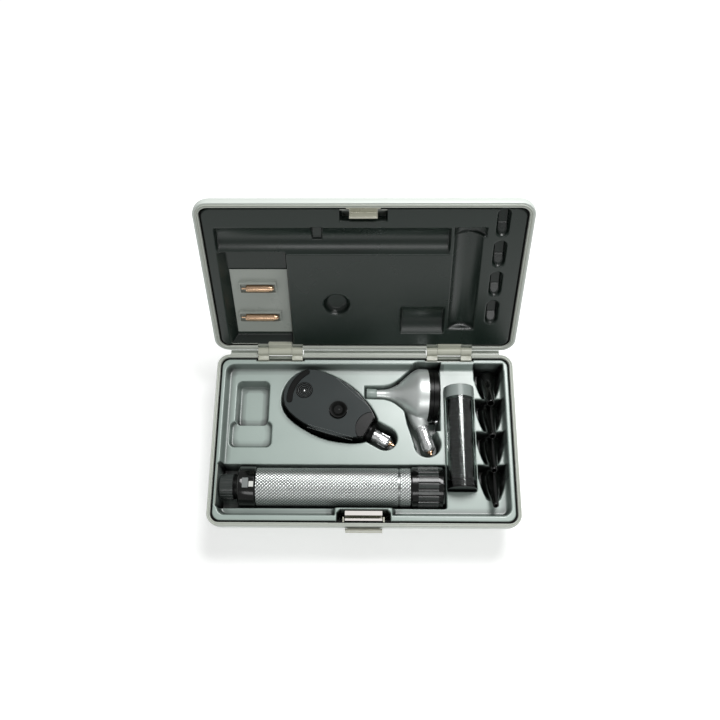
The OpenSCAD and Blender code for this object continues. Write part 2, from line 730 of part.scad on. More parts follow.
module cell(x0) {
  at_handle() turned([
    [x0, 0], [x0, 3], [x0 + 1.3, 3], [x0 + 1.3, cell_d / 2 - 0.8], [x0 + 2, cell_d / 2], [x0 + cell_len - 0.6, cell_d / 2],
    [x0 + cell_len, cell_d / 2 - 0.6], [x0 + cell_len, 0]
  ]);
}
spigot_len = 6;
cell_x0 = head_x1 + spigot_len + 0.6;
module cell_front() {
  color([0.3, 0.36, 0.4]) cell(cell_x0);
}
module cell_rear() {
  color([0.3, 0.36, 0.4]) cell(cell_x0 + cell_len + 0.15);
}

// Conical contact spring behind the cells, drawn as three flat turns joined by links
module cell_spring() {
  x0 = cell_x0 + 2 * cell_len + 0.3;
  reach = cap_x1 - 4.3 - x0;
  step = (reach - 0.9) / 2;
  color([0.7, 0.7, 0.7]) at_handle() {
    for (k = [0 : 2]) {
      difference() {
        bar_x(x0 + k * step, x0 + k * step + 0.9, 4.6 + 2 * k, 40);
        bar_x(x0 + k * step - 1, x0 + k * step + 2, 3.7 + 2 * k, 40);
      }
    }
    for (k = [0 : 1]) {
      z = 4.15 + 2 * k;
      box(x0 + k * step, x0 + (k + 1) * step + 0.9, -0.45, 0.45, z - 0.35, z + 0.35);
      box(x0 + (k + 1) * step, x0 + (k + 1) * step + 0.9, -0.45, 0.45, z - 0.3, z + 2);
    }
  }
}

// Ribbed dimmer ring on the head's spigot
module dimmer_ring() {
  ribs = 20;
  color([0.1, 0.1, 0.1]) at_handle() difference() {
    turned([
      [ring_x0, 0], [ring_x0, ring_r - 0.9], [ring_x0 + 0.7, ring_r - 0.3], [ring_x0 + 10.6, ring_r], [ring_x0 + 11.4, ring_r - 0.5],
      [ring_x1, ring_r - 0.5], [ring_x1, 0]
    ]);
    bar_x(ring_x0 - 1, ring_x1 + 1, 7 + run_gap);
    for (k = [0 : ribs - 1]) {
      rotate([360 * k / ribs, 0, 0]) translate([0, 0, ring_r + 0.25]) bar_x(ring_x0 - 1, ring_x0 + 10, 0.75, 16);
    }
  }
}

module lock_button() {
  color([0.6, 0.6, 0.6]) at_handle() translate([head_x0 + 3.9, 0, 0]) {
    box(0, 4.3, -3.9, 3.3, cap_r - 1.7, button_z);
  }
}

// Ribbed end cap that screws on over the cells
module end_cap() {
  ribs = 20;
  color([0.06, 0.06, 0.06]) at_handle() difference() {
    union() {
      turned([
        [cap_x0, 0], [cap_x0, cap_r - 0.5], [cap_x0 + 0.6, cap_r], [cap_x1 - 1.4, cap_r], [cap_x1, cap_r - 1.4], [cap_x1, 0]
      ]);
      bar_x(grip_x1 - 7, cap_x0 + 1, cell_d / 2 + 0.3 - run_gap);
    }
    bar_x(grip_x1 - 12, cap_x1 - 4.2, cell_d / 2 - 1.2);
    for (k = [0 : ribs - 1]) {
      rotate([360 * k / ribs, 0, 0]) translate([0, 0, cap_r + 0.2]) bar_x(cap_x0 + 4.9, cap_x1 - 4.4, 0.95, 16);
    }
  }
}

// Ophthalmoscope head

wheel_r = 22.3;
wheel_u = -12;
wheel_bore = 3;
wheel_z = oph_top - 9.2;
lens_u = -30.2;
module at_oph(z = 0) {
  oph_place() translate([0, 0, z]) children();
}

module oph_housing() {
  color([0.05, 0.05, 0.05]) at_oph() difference() {
    union() {
      translate([0, 0, oph_bot + 1.6]) linear_extrude(oph_top - 1.5 - oph_bot - 1.6) oph_plan(0);
      translate([0, 0, oph_bot]) linear_extrude(1.7) oph_plan(-1.4);
    }
    // Bay for the lens wheel, open at both sides so that its edge can be turned
    translate([wheel_u, 0, wheel_z - 1.6]) difference() {
      cylinder(h = 3.2, r = wheel_r + 0.6, $fn = 72);
      translate([0, 0, -1]) cylinder(h = 6, r = wheel_bore - run_gap, $fn = 32);
    }
    // Sight channel through the head
    translate([lens_u, 0.8, oph_bot - 1]) cylinder(h = oph_thick + 2, r = 2, $fn = 32);
    // Well for the aperture dial's stem
    translate([0, 0, oph_top - 6]) cylinder(h = 8, r = 2 + run_gap, $fn = 32);
    translate([0, 0, oph_neck_z]) bar_x(20, 30, 5 + run_gap, 40);
  }
}

// Grey face plate with sunk seats for the eyepiece and the dial, and long grip flutes
module oph_face() {
  color([0.24, 0.26, 0.25]) at_oph() difference() {
    translate([0, 0, oph_top - 1.5]) linear_extrude(1.5) oph_plan(-0.5);
    translate([lens_u, 0.8, oph_top - 2]) cylinder(h = 4, r = 6.4);
    translate([0, 0, oph_top - 2]) cylinder(h = 4, r = 6.9);
    translate([29.5, 0, oph_top - 2]) cylinder(h = 4, r = 13);
    brow_arc(2.35, oph_top - 2, oph_top + 2);
    for (s = [-1, 1]) {
      translate([3.5, s * 18.1, oph_top - 0.4]) rotate([0, 0, -s * 13]) translate([-17, -1.1, 0]) cube([34, 2.2, 1]);
    }
  }
}

// Arc along the top of the face: a curved band with round ends
brow_c = [-14, 1.5];
brow_r = 25.4;
brow_from = 150;
brow_to = 210;
function polar(r, a) = [r * cos(a), r * sin(a)];
module brow_arc(r, z0, z1) {
  steps = 12;
  angles = [for (k = [0 : steps]) brow_from + (brow_to - brow_from) * k / steps];
  translate([brow_c[0], brow_c[1], z0]) linear_extrude(z1 - z0) polygon(concat(
    [for (a = angles) polar(brow_r + r, a)],
    [for (k = [1 : 5]) polar(brow_r, brow_to) + polar(r, brow_to + 30 * k)],
    [for (k = [steps : -1 : 0]) polar(brow_r - r, angles[k])],
    [for (k = [1 : 5]) polar(brow_r, brow_from) + polar(r, brow_from + 180 + 30 * k)]
  ));
}
module oph_brow_rest() {
  color([0.03, 0.03, 0.03]) at_oph() brow_arc(2.1, oph_top - 1.5, oph_top + 0.1);
}

module oph_eyepiece() {
  color([0.04, 0.04, 0.04]) at_oph() translate([lens_u, 0.8, oph_top - 1.5]) difference() {
    cylinder(h = 1.7, r = 6.2);
    translate([0, 0, 1.2]) cylinder(h = 2, r = 5.2);
    translate([0, 0, 0.8]) cylinder(h = 2, r = 4);
    translate([0, 0, 0.4]) cylinder(h = 2, r = 2.9);
    translate([0, 0, -1]) cylinder(h = 4, r = 1.6, $fn = 32);
  }
}

module oph_lens() {
  color([0.7, 0.75, 0.78, 0.5]) at_oph() translate([lens_u, 0.8, oph_top - 4.2]) cylinder(h = 1.6, r = 1.98, $fn = 32);
}

// Wheel of trial lenses
module lens_wheel() {
  teeth = 36;
  color([0.12, 0.12, 0.12]) at_oph() translate([wheel_u, 0, wheel_z - 1.1]) difference() {
    cylinder(h = 2.2, r = wheel_r, $fn = 72);
    translate([0, 0, -1]) cylinder(h = 5, r = wheel_bore, $fn = 32);
    for (k = [0 : 11]) {
      rotate([0, 0, 30 * k - 2.5]) translate([lens_u - wheel_u, 0, -1]) cylinder(h = 5, r = 1.8, $fn = 24);
    }
    for (k = [0 : teeth - 1]) {
      rotate([0, 0, 360 * k / teeth]) translate([wheel_r + 0.25, 0, -1]) cylinder(h = 5, r = 0.7, $fn = 16);
    }
  }
}

// Concave dial that sets the aperture
module aperture_dial() {
  color([0.05, 0.06, 0.05]) at_oph() translate([0, 0, oph_top]) difference() {
    union() {
      translate([0, 0, 0.25 - 1.5]) cylinder(h = 2.95, r = 6.5);
      translate([0, 0, -5.8]) cylinder(h = 5, r = 2, $fn = 32);
    }
    translate([0, 0, 0.5]) cylinder(h = 1.21, r1 = 3.3, r2 = 5.6);
    translate([0, 0, 0.5 - 0.02]) cylinder(h = 0.1, r = 3.3);
  }
}

module oph_dust_patch() {
  color([0.07, 0.07, 0.06]) at_oph() intersection() {
    translate([29.5, 0, oph_top - 1.5]) cylinder(h = 1.4, r = 12.7);
    translate([0, 0, oph_top - 2]) linear_extrude(4) oph_plan(-0.5);
  }
}

module oph_collar() {
  color([0.05, 0.05, 0.05]) at_oph(oph_neck_z) difference() {
    turned([[26.55, 0], [26.55, 8.4], [28, 8.4], [30.6, 6.6], [30.6, 0]]);
    bar_x(20, 40, 5 + run_gap, 40);
  }
}

// Plug-in stub that the handle takes, with its waist and slots
module stub(x0, root = 0) {
  difference() {
    turned([
      [x0 - root, 0], [x0 - root, 5], [x0 + 2.6, 5], [x0 + 3, 4.7], [x0 + 9, 4.7], [x0 + 9, 4.3], [x0 + 10.6, 4.3], [x0 + 10.6, 4.9], [x0 + 17.6, 4.9], [x0 + 19.4, 3.6], [x0 + 19.4, 0]
    ], 48);
    bar_x(x0 + 8, x0 + 21, 2.6, 32);
    for (k = [0 : 5]) {
      rotate([60 * k + 15, 0, 0]) translate([0, 0, 5.1]) bar_x(x0 + 11.6, x0 + 20, 0.7, 16);
    }
  }
}
module lamp_pin(x0, tip = 23.4) {
  bar_x(x0 + 8, x0 + 20.6, 2.6, 32);
  bar_x(x0 + 20, x0 + tip, 1.1, 24);
}

module oph_connector() {
  color([0.85, 0.86, 0.86]) at_oph(oph_neck_z) stub(24.4);
}
module oph_lamp_pin() {
  color([0.8, 0.62, 0.3]) at_oph(oph_neck_z) lamp_pin(24.4);
}

// Otoscope

stub_s = 37.6;
port_at = [24.4, 6.6, 3.4];
module at_stub() {
  oto_place() translate([stub_s, -11, 0]) rotate([0, 0, -90 + stub_turn]) children();
}

module oto_body() {
  color([0.74, 0.76, 0.76]) difference() {
    union() {
      oto_place() turned(concat([[7.9, 0]], oto_shape, [[oto_seat_s, 0]]), 72);
      at_stub() turned([
        [-2, 0], [-2, 7.6], [6.5, 7.3], [10, 6.9], [12.6, 6.3], [14.4, 5.8], [stub_root, 5.4], [stub_root, 0]
      ], 48);
    }
    oto_place() turned([
      [6, 0], [6, 2.1], [14, 2.3], [20, 3.6], [24, 6.3], [30, 12], [34, 15.7], [37.4, 18.2], [40, oto_r - 1.6],
      [oto_seat_s - 1.6, oto_r - 1.6], [oto_seat_s - 1.6, oto_r - 2.6], [oto_seat_s + 1, oto_r - 2.6], [oto_seat_s + 1, 0]
    ], 72);
    oto_place() bar_x(oto_seat_s, oto_end_s, oto_r + 0.3, 72);
    at_stub() bar_x(-4, stub_root + 1, 5 + run_gap, 48);
    oto_place() translate(port_at) rotate([-60, 0, 0]) translate([0, 0, -2]) cylinder(h = 8, r = 1.3, $fn = 24);
  }
}

module oto_nose_ring() {
  color([0.62, 0.66, 0.65]) oto_place() difference() {
    turned([[0, 0], [0, 3.9], [0.6, 4.2], [7.1, 4.2], [7.8, 3.8], [7.8, 0]], 48);
    bar_x(-1, 10, 2.1, 32);
  }
}

module oto_air_port() {
  color([0.06, 0.06, 0.06]) oto_place() translate(port_at) rotate([-60, 0, 0]) translate([0, 0, -1.6]) difference() {
    cylinder(h = 3.6, r = 1.28, $fn = 24);
    translate([0, 0, -1]) cylinder(h = 6, r = 0.6, $fn = 16);
  }
}

// Black seat ring on the body's rear edge
pivot_t = -oto_r + 1.4;
module oto_window_seat() {
  color([0.05, 0.05, 0.05]) oto_place() difference() {
    turned([[oto_seat_s + 0.05, 0], [oto_seat_s + 0.05, oto_r], [oto_seat_s + 3.4, oto_r], [oto_seat_s + 3.4, 0]], 72);
    bar_x(oto_seat_s - 1, oto_seat_s + 5, oto_r - 2.6);
    translate([0, pivot_t, 0]) bar_x(oto_seat_s + 0.5, oto_seat_s + 5, 1.6, 32);
  }
}

// Window frame that swings aside on the pivot
module oto_window_frame() {
  s0 = oto_seat_s + 3.7;
  color([0.1, 0.1, 0.1]) oto_place() difference() {
    union() {
      turned([[s0, 0], [s0, oto_r], [s0 + 3.6, oto_r], [oto_end_s, oto_r - 1.2], [oto_end_s, 0]], 72);
      translate([0, pivot_t, 0]) bar_x(s0, s0 + 2.6, 3, 32);
    }
    bar_x(s0 - 1, oto_end_s + 1, oto_r - 5.2);
    translate([0, pivot_t, 0]) bar_x(s0 - 1, oto_end_s + 2, 1.6 + run_gap, 32);
    translate([0, pivot_t, 0]) bar_x(s0 + 2.6, oto_end_s + 1, 3.2, 32);
  }
}
module oto_window_lens() {
  s0 = oto_seat_s + 3.9;
  r = oto_r - 5.22;
  crown = [for (k = [0 : 6]) [s0 + 1.6 + 2.6 * (1 - pow(k / 6, 2)), r * k / 6]];
  color([0.75, 0.8, 0.82, 0.5]) oto_place() turned(concat([[s0, 0]], crown, [[s0, r]]), 72);
}
module oto_pivot() {
  s0 = oto_seat_s + 3.7;
  color([0.85, 0.86, 0.86]) oto_place() translate([0, pivot_t, 0]) {
    bar_x(oto_seat_s + 0.5, s0 + 3, 1.6, 32);
    bar_x(s0 + 2.9, s0 + 4.4, 2.9, 32);
  }
}

module oto_connector() {
  color([0.85, 0.86, 0.86]) at_stub() stub(stub_root, 12);
}
module oto_lamp_pin() {
  color([0.8, 0.62, 0.3]) at_stub() lamp_pin(stub_root, 22.4);
}

// Tube of disposable specula

module at_vial() {
  translate([vial_x, 0, vial_z]) children();
}
module vial_tube() {
  color([0.8, 0.85, 0.88, 0.4]) at_vial() difference() {
    bar_y(vial_y0 + 1.2, vial_y1, vial_r);
    bar_y(vial_y0 + vial_cap_len, vial_y1 - 1.2, vial_r - 1);
    bar_y(vial_y0 + 1, vial_y0 + vial_cap_len, vial_r - 1.4);
  }
}
module vial_cap() {
  color([0.04, 0.04, 0.04]) at_vial() difference() {
    union() {
      bar_y(vial_y0, vial_y0 + 1.2, vial_r);
      bar_y(vial_y0 + 1, vial_y0 + vial_cap_len - 0.4, vial_r - 1.4);
    }
    bar_y(vial_y0 + 2.6, vial_y0 + 7, vial_r - 3);
  }
}

// Nested stack, drawn as one turned piece with a step for each speculum
stack_n = 9;
module vial_specula() {
  y0 = vial_y0 + vial_cap_len + 0.4;
  pitch = 4.2;
  color([0.05, 0.05, 0.05]) at_vial() rotate([90, 0, 0]) rotate([0, 0, 90]) translate([0, 0, -y0]) rotate([180, 0, 0]) {
    difference() {
      union() {
        for (k = [0 : stack_n - 1]) {
          translate([0, 0, k * pitch]) cylinder(h = 1.5, r = vial_r - 1.5);
          translate([0, 0, k * pitch + 1.4]) cylinder(h = pitch - 1.4, r1 = vial_r - 2.1, r2 = vial_r - 2.8);
        }
        translate([0, 0, stack_n * pitch - 0.1]) cylinder(h = 8, r1 = vial_r - 2.8, r2 = 4.2);
        translate([0, 0, stack_n * pitch + 7.8]) cylinder(h = 20, r1 = 4.2, r2 = 2.2);
      }
      translate([0, 0, -1]) cylinder(h = stack_n * pitch, r = vial_r - 4.4);
      translate([0, 0, 10]) cylinder(h = 70, r = 1.4, $fn = 32);
    }
  }
}

// Reusable specula, wide end down in the pocket and the tip up towards the latch side
module speculum(i) {
  tip = spec_tip[i];
  translate([spec_x, spec_y[i], spec_z]) rotate([90 - spec_tilt, 0, 0]) rotate_extrude($fn = 64) polygon([
    [spec_r, 0], [spec_r, 4.8], [spec_r - 0.9, 8.6], [spec_r - 2.9, 16.6], [tip + 0.9, 24], [tip, spec_len - 0.4], [tip - 0.3, spec_len],
    [tip - 0.8, spec_len], [tip - 0.8, spec_len - 1], [tip + 0.1, 24], [spec_r - 3.8, 16.2], [spec_r - 1.9, 8], [spec_r - 1, 4.4], [spec_r - 1, 0]
  ]);
}
module speculum_1() {
  color([0.05, 0.05, 0.05]) speculum(0);
}
module speculum_2() {
  color([0.05, 0.05, 0.05]) speculum(1);
}
module speculum_3() {
  color([0.05, 0.05, 0.05]) speculum(2);
}
module speculum_4() {
  color([0.05, 0.05, 0.05]) speculum(3);
}

// Spare lamps on their strip in the lid

card_z = lid_face_z + 6.2;
card_x0 = -96.2 + left_x;
card_x1 = -54.9 + left_x;
card_y0 = -6.5;
card_y1 = 53.6;
lamp_y = [8.8, 36.6];
lamp_z = card_z - 2.9;
lamp_x = [-88.6 + left_x, -91.6 + left_x];
lamp_len = [23.5, 28];
module blister_card() {
  color([0.6, 0.64, 0.64]) lid_open_pose() difference() {
    union() {
      box(card_x0, card_x1, card_y0, card_y1, card_z, card_z + 0.4);
      for (i = [0 : 1]) {
        x0 = lamp_x[i] - 1.6;
        box(x0, x0 + lamp_len[i] + 3.2, lamp_y[i] - 4.6, lamp_y[i] + 4.6, card_z - 3.2, card_z + 0.2);
      }
    }
    for (i = [0 : 1]) {
      x0 = lamp_x[i] - 0.9;
      box(x0, x0 + lamp_len[i] + 1.8, lamp_y[i] - 3.9, lamp_y[i] + 3.9, card_z - 6, card_z - 0.3);
    }
    box(card_x0 - 1, card_x1 + 1, 20.4, 20.8, card_z + 0.15, card_z + 1);
  }
}

// Halogen lamp: brass barrel, glass nose, and the thin centre contact
module spare_lamp(i) {
  n = lamp_len[i];
  lid_open_pose() translate([lamp_x[i], lamp_y[i], lamp_z]) turned([
    [0, 0], [0, 0.7], [3.2, 0.7], [3.2, 2.1], [4, 2.6], [n - 3.4, 2.6], [n - 3.4, 2.2], [n - 1.2, 1.9], [n, 0.8], [n, 0]
  ], 32);
}
module spare_lamp_a() {
  color([0.85, 0.65, 0.35]) spare_lamp(0);
}
module spare_lamp_b() {
  color([0.85, 0.65, 0.35]) spare_lamp(1);
}

base_shell();
base_rim();
base_liner();
hinge_base_left();
hinge_base_right();
hinge_pins();
hinge_rivets();
latch_bracket();
latch_pin();
latch_spring();
lid_shell();
lid_rim();
lid_liner();
hinge_lid_left();
hinge_lid_right();
lid_catch();
latch_lever();
handle_tube();
handle_head();
handle_contact();
index_mark();
cell_front();
cell_rear();
cell_spring();
dimmer_ring();
lock_button();
end_cap();
oph_housing();
oph_face();
oph_brow_rest();
oph_eyepiece();
oph_lens();
oph_collar();
oph_connector();
oph_lamp_pin();
oph_dust_patch();
lens_wheel();
aperture_dial();
oto_body();
oto_nose_ring();
oto_window_seat();
oto_air_port();
oto_connector();
oto_lamp_pin();
oto_pivot();
oto_window_frame();
oto_window_lens();
vial_tube();
vial_cap();
vial_specula();
speculum_1();
speculum_2();
speculum_3();
speculum_4();
blister_card();
spare_lamp_a();
spare_lamp_b();
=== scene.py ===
"""Looks of the hinged carry case with its otoscope and ophthalmoscope set, standing open.

Lengths are millimetres in the frame of the solids, unless a comment says metres.
"""

import json
import math

import bmesh
import bpy
import numpy as np
from mathutils import Matrix, Vector


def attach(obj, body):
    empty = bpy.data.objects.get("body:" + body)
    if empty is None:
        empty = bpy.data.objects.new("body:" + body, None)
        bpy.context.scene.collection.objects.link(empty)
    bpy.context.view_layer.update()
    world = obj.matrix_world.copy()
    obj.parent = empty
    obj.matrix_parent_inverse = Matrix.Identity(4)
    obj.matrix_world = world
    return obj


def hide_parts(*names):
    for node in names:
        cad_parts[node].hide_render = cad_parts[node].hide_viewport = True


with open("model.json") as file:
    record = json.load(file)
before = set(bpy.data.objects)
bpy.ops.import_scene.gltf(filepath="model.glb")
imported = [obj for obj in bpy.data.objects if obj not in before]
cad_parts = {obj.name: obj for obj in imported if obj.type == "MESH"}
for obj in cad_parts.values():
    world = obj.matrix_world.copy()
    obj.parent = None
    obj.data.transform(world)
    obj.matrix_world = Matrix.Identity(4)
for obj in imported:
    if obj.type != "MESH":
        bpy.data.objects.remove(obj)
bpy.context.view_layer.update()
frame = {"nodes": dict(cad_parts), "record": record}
MM = 0.001

# Case lines, as the solids have them. The lid's are those of the shut lid
CASE_W, CASE_D, BASE_H, LID_H, CORNER = 225.0, 131.0, 41.0, 16.0, 9.0
HINGE_Y, HINGE_Z, HINGE_X = 67.7, 41.15, 64.5
HINGE_CUT, HINGE_CUT_Y = 17.3, (60.7, 66.5)  # half the width and the reach of a hinge's gap in the rims
LID_OPEN = math.radians(114)
LID_Z = 41.3
WALL_T, RIM_T, RIM_H, LEDGE_W, LIP = 1.8, 2.4, 4.2, 3.0, 1.6
TRAY_Z, FLANGE_Z, LID_FACE = 33.0, 40.0, 42.3
LINER_W, LINER_D, LINER_CORNER = 217.8, 123.8, 6.4
HANDLE_Y, HANDLE_Z = -35.3, 30.2
BEYOND = 80.0  # a y outside the case, where a cut through its wall may end

# FLAT leaves a piece where it is, OPEN turns a piece of the shut lid to the open lid
FLAT = Matrix.Identity(4)
OPEN = (
    Matrix.Translation((0, HINGE_Y, HINGE_Z))
    @ Matrix.Rotation(-LID_OPEN, 4, "X")
    @ Matrix.Translation((0, -HINGE_Y, -HINGE_Z))
)


def link(obj):
    bpy.context.scene.collection.objects.link(obj)
    return obj


# Materials

def srgb(text):
    """Linear red, green and blue of a colour written as six hexadecimal digits."""
    parts = [int(text[i : i + 2], 16) / 255 for i in (0, 2, 4)]
    return [p / 12.92 if p <= 0.04045 else ((p + 0.055) / 1.055) ** 2.4 for p in parts]


ROUGH_SPREAD = 0.04
GRAIN_SIZE, GRAIN_HEIGHT = 0.0007, 0.0002  # metres


def material(name, colour, rough, metal=0.0, vary=0.05, patch=0.02, grain=0.0, gloss=0.5, painted_shade=None):
    """Principled surface with soft patches of tone, uneven gloss and an optional fine grain.

    The tone varies by the share vary over patches of patch metres. Where a shade colour is given, that colour
    is painted in as shade where the mesh's attribute "open" is low, in hollows, grooves and gaps.
    """
    m = bpy.data.materials.new(name)
    m.use_nodes = True
    tree = m.node_tree
    shader = tree.nodes["Principled BSDF"]
    shader.inputs["Metallic"].default_value = metal
    shader.inputs["Specular IOR Level"].default_value = gloss
    coord = tree.nodes.new("ShaderNodeTexCoord")
    noise = tree.nodes.new("ShaderNodeTexNoise")
    noise.inputs["Scale"].default_value = 1 / patch
    noise.inputs["Detail"].default_value = 4
    tree.links.new(coord.outputs["Object"], noise.inputs["Vector"])
    mix = tree.nodes.new("ShaderNodeMix")
    mix.data_type = "RGBA"
    base = srgb(colour)
    mix.inputs["A"].default_value = [c * (1 - vary) for c in base] + [1]
    mix.inputs["B"].default_value = [min(1, c * (1 + vary)) for c in base] + [1]
    tree.links.new(noise.outputs["Fac"], mix.inputs["Factor"])
    tone = mix.outputs["Result"]
    # Painted shade: the given dark colour where the attribute "open" is low
    if painted_shade:
        mark = tree.nodes.new("ShaderNodeAttribute")
        mark.attribute_name = "open"
        shaded = tree.nodes.new("ShaderNodeMix")
        shaded.data_type = "RGBA"
        shaded.inputs["A"].default_value = srgb(painted_shade) + [1]
        tree.links.new(mark.outputs["Fac"], shaded.inputs["Factor"])
        tree.links.new(tone, shaded.inputs["B"])
        tone = shaded.outputs["Result"]
    tree.links.new(tone, shader.inputs["Base Color"])
    uneven = tree.nodes.new("ShaderNodeMapRange")
    uneven.inputs["From Min"].default_value = 0.3
    uneven.inputs["From Max"].default_value = 0.7
    uneven.inputs["To Min"].default_value = max(0.02, rough - ROUGH_SPREAD)
    uneven.inputs["To Max"].default_value = rough + ROUGH_SPREAD
    tree.links.new(noise.outputs["Fac"], uneven.inputs["Value"])
    tree.links.new(uneven.outputs["Result"], shader.inputs["Roughness"])
    if grain:
        fine = tree.nodes.new("ShaderNodeTexNoise")
        fine.inputs["Scale"].default_value = 1 / GRAIN_SIZE
        fine.inputs["Detail"].default_value = 2
        tree.links.new(coord.outputs["Object"], fine.inputs["Vector"])
        bump = tree.nodes.new("ShaderNodeBump")
        bump.inputs["Strength"].default_value = grain
        bump.inputs["Distance"].default_value = GRAIN_HEIGHT
        tree.links.new(fine.outputs["Fac"], bump.inputs["Height"])
        tree.links.new(bump.outputs["Normal"], shader.inputs["Normal"])
    return m


def let_through(look, share):
    """Makes a material clear by a share from 0 to 1."""
    look.node_tree.nodes["Principled BSDF"].inputs["Transmission Weight"].default_value = share
    return look


def clear(name, colour):
    """Clear and glossy plastic or glass."""
    look = let_through(material(name, colour, 0.03, vary=0.01), 1.0)
    look.node_tree.nodes["Principled BSDF"].inputs["IOR"].default_value = 1.45
    return look


SHELL = material("shell", "cfd6d0", 0.4, vary=0.02, grain=0.15)
RIM = material("rim", "b6bbb2", 0.3, vary=0.03)
# The liners take painted shade: their last colour is laid where their attribute "open" is low, in hollows and
# gaps
LINER_LIGHT = material("liner_light", "9caba4", 0.34, vary=0.04, patch=0.03, gloss=1.0, painted_shade="0a0c0b")
LINER_DARK = material("liner_dark", "17241e", 0.28, patch=0.06, painted_shade="0a0c0b")
HINGE_PAINT = material("hinge_paint", "b5b7a8", 0.35, vary=0.04)
PIN_STEEL = material("pin_steel", "a8a9a4", 0.3, metal=1.0)
LATCH_METAL = material("latch_metal", "b9b9ab", 0.28, metal=0.7)
# The tube's last colour is painted shade in the grooves of its knurl
TUBE_CHROME = material("tube_chrome", "dfe4e2", 0.3, metal=0.9, vary=0.02, painted_shade="101211")
BLACK_GLOSS = material("black_gloss", "070807", 0.14, vary=0.1)
BLACK_MATTE = material("black_matte", "090a09", 0.32, vary=0.1, gloss=0.2)
# Black of the strips of painted shade in the gaps beside the liners
GAP_SHADE_BLACK = material("gap_shade_black", "040404", 0.6, vary=0.1, gloss=0.1)
# Lighter grey painted on the tops of the black ribs as their highlights
RIB_HIGHLIGHT = material("rib_top_highlight", "313634", 0.28, vary=0.15, gloss=0.6)
BLACK_DULL = material("black_dull", "060706", 0.5, vary=0.1, gloss=0.12)
BAR_WHITE = material("bar_white", "dfdad6", 0.3, vary=0.03)
BRASS = material("contact_brass", "c8a050", 0.25, metal=1.0)
WHITE_MARK = material("white_mark", "d8dad5", 0.5, vary=0.02)
CELL = material("cell_metal", "55626b", 0.3, metal=0.6)
BUTTON = material("button_grey", "7b807f", 0.5, vary=0.04)
FACE_GREY = material("face_grey", "2f3535", 0.42, grain=0.25, gloss=0.15)
RING_LINE = material("ring_line", "59605f", 0.35)
FACE_LINE = material("face_line", "8d9492", 0.4)
GLASS = clear("clear_glass", "e6eef0")
TUBE_CLEAR = clear("clear_tube", "f0f6f4")
STACK = material("stack_black", "0b0d0c", 0.3, vary=0.2, gloss=0.6)
CHROME = material("plug_chrome", "eceeee", 0.22, metal=0.85, vary=0.02)
GOLD = material("pin_gold", "dcb898", 0.24, metal=0.9)
SATIN = material("body_satin", "e4e9e7", 0.4, metal=0.75, vary=0.02)
NOSE = material("nose_grey", "93a09a", 0.35, vary=0.03)
CARD = material("card_grey", "a7ada6", 0.3, vary=0.06)
TUBE_END = let_through(material("tube_end", "b9c4c0", 0.35, vary=0.04), 0.55)

# The look of each material slot of the solids
LOOKS = {
    "shell": SHELL, "rim": RIM, "liner_light": LINER_LIGHT, "liner_dark": LINER_DARK,
    "hinge_paint": HINGE_PAINT, "pin_steel": PIN_STEEL, "latch_metal": LATCH_METAL, "tube_chrome": TUBE_CHROME,
    "black_gloss": BLACK_GLOSS, "black_matte": BLACK_MATTE, "contact_brass": BRASS, "white_mark": WHITE_MARK,
    "cell_metal": CELL, "button_grey": BUTTON, "face_grey": FACE_GREY, "clear_glass": GLASS,
    "clear_tube": TUBE_CLEAR, "plug_chrome": CHROME, "pin_gold": GOLD, "body_satin": SATIN, "nose_grey": NOSE,
    "card_grey": CARD,
}
SLOT_OF = {s["node"]: s["material_slot"] for s in frame["record"]["subparts"]}
BODY_OF = {n: b for b, nodes in frame["record"]["behaviour"]["bodies"].items() for n in nodes}


# Pieces

def settle(obj, node):
    """Gives a finished piece the body of the node that it stands for, and hides that node."""
    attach(obj, BODY_OF[node])
    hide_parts(node)


def add_trim(obj, look, body):
    """Finishes a thin piece that stands for no node."""
    obj.data.materials.clear()
    obj.data.materials.append(look)
    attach(obj, body)


def smooth(mesh, angle):
    """Smooth shading, with edges above so many degrees kept sharp."""
    mesh.polygons.foreach_set("use_smooth", [True] * len(mesh.polygons))
    mesh.set_sharp_from_angle(angle=math.radians(angle))


WELD = 2e-6  # metres
FLAT_ANGLE, SHARP_ANGLE = 0.6, 32  # degrees
EASE = 0.15


def skin(node, look):
    """A copy of the solid with eased edges and a smooth finish."""
    source = frame["nodes"][node].data
    bm = bmesh.new()
    bm.from_mesh(source)
    bmesh.ops.remove_doubles(bm, verts=bm.verts, dist=WELD)
    bmesh.ops.dissolve_limit(bm, angle_limit=math.radians(FLAT_ANGLE), verts=bm.verts, edges=bm.edges)
    mesh = bpy.data.meshes.new(node + "_skin")
    bm.to_mesh(mesh)
    bm.free()
    obj = link(bpy.data.objects.new(node + "_skin", mesh))
    mesh.materials.clear()
    mesh.materials.append(look)
    smooth(mesh, SHARP_ANGLE)
    mod = obj.modifiers.new("ease", "BEVEL")
    mod.width = EASE * MM
    mod.segments = 2
    mod.limit_method = "ANGLE"
    mod.angle_limit = math.radians(SHARP_ANGLE)
    mod.harden_normals = True
    settle(obj, node)


def grid_mesh(name, places, quads, seen):
    """Mesh of smooth quads. Its attribute "open" is 1 in the open and 0 where shade is painted darkest."""
    mesh = bpy.data.meshes.new(name)
    mesh.vertices.add(len(places))
    mesh.vertices.foreach_set("co", (places * MM).astype(np.float32).ravel())
    mesh.loops.add(quads.size)
    mesh.loops.foreach_set("vertex_index", quads.astype(np.int32).ravel())
    mesh.polygons.add(len(quads))
    mesh.polygons.foreach_set("loop_start", np.arange(0, quads.size, 4, dtype=np.int32))
    mesh.update(calc_edges=True)
    mesh.polygons.foreach_set("use_smooth", [True] * len(quads))
    mesh.attributes.new("open", "FLOAT", "POINT").data.foreach_set("value", seen.astype(np.float32))
    return mesh


# Formed liners: each is one sheet whose height is worked out over a fine grid

GRID = 0.4


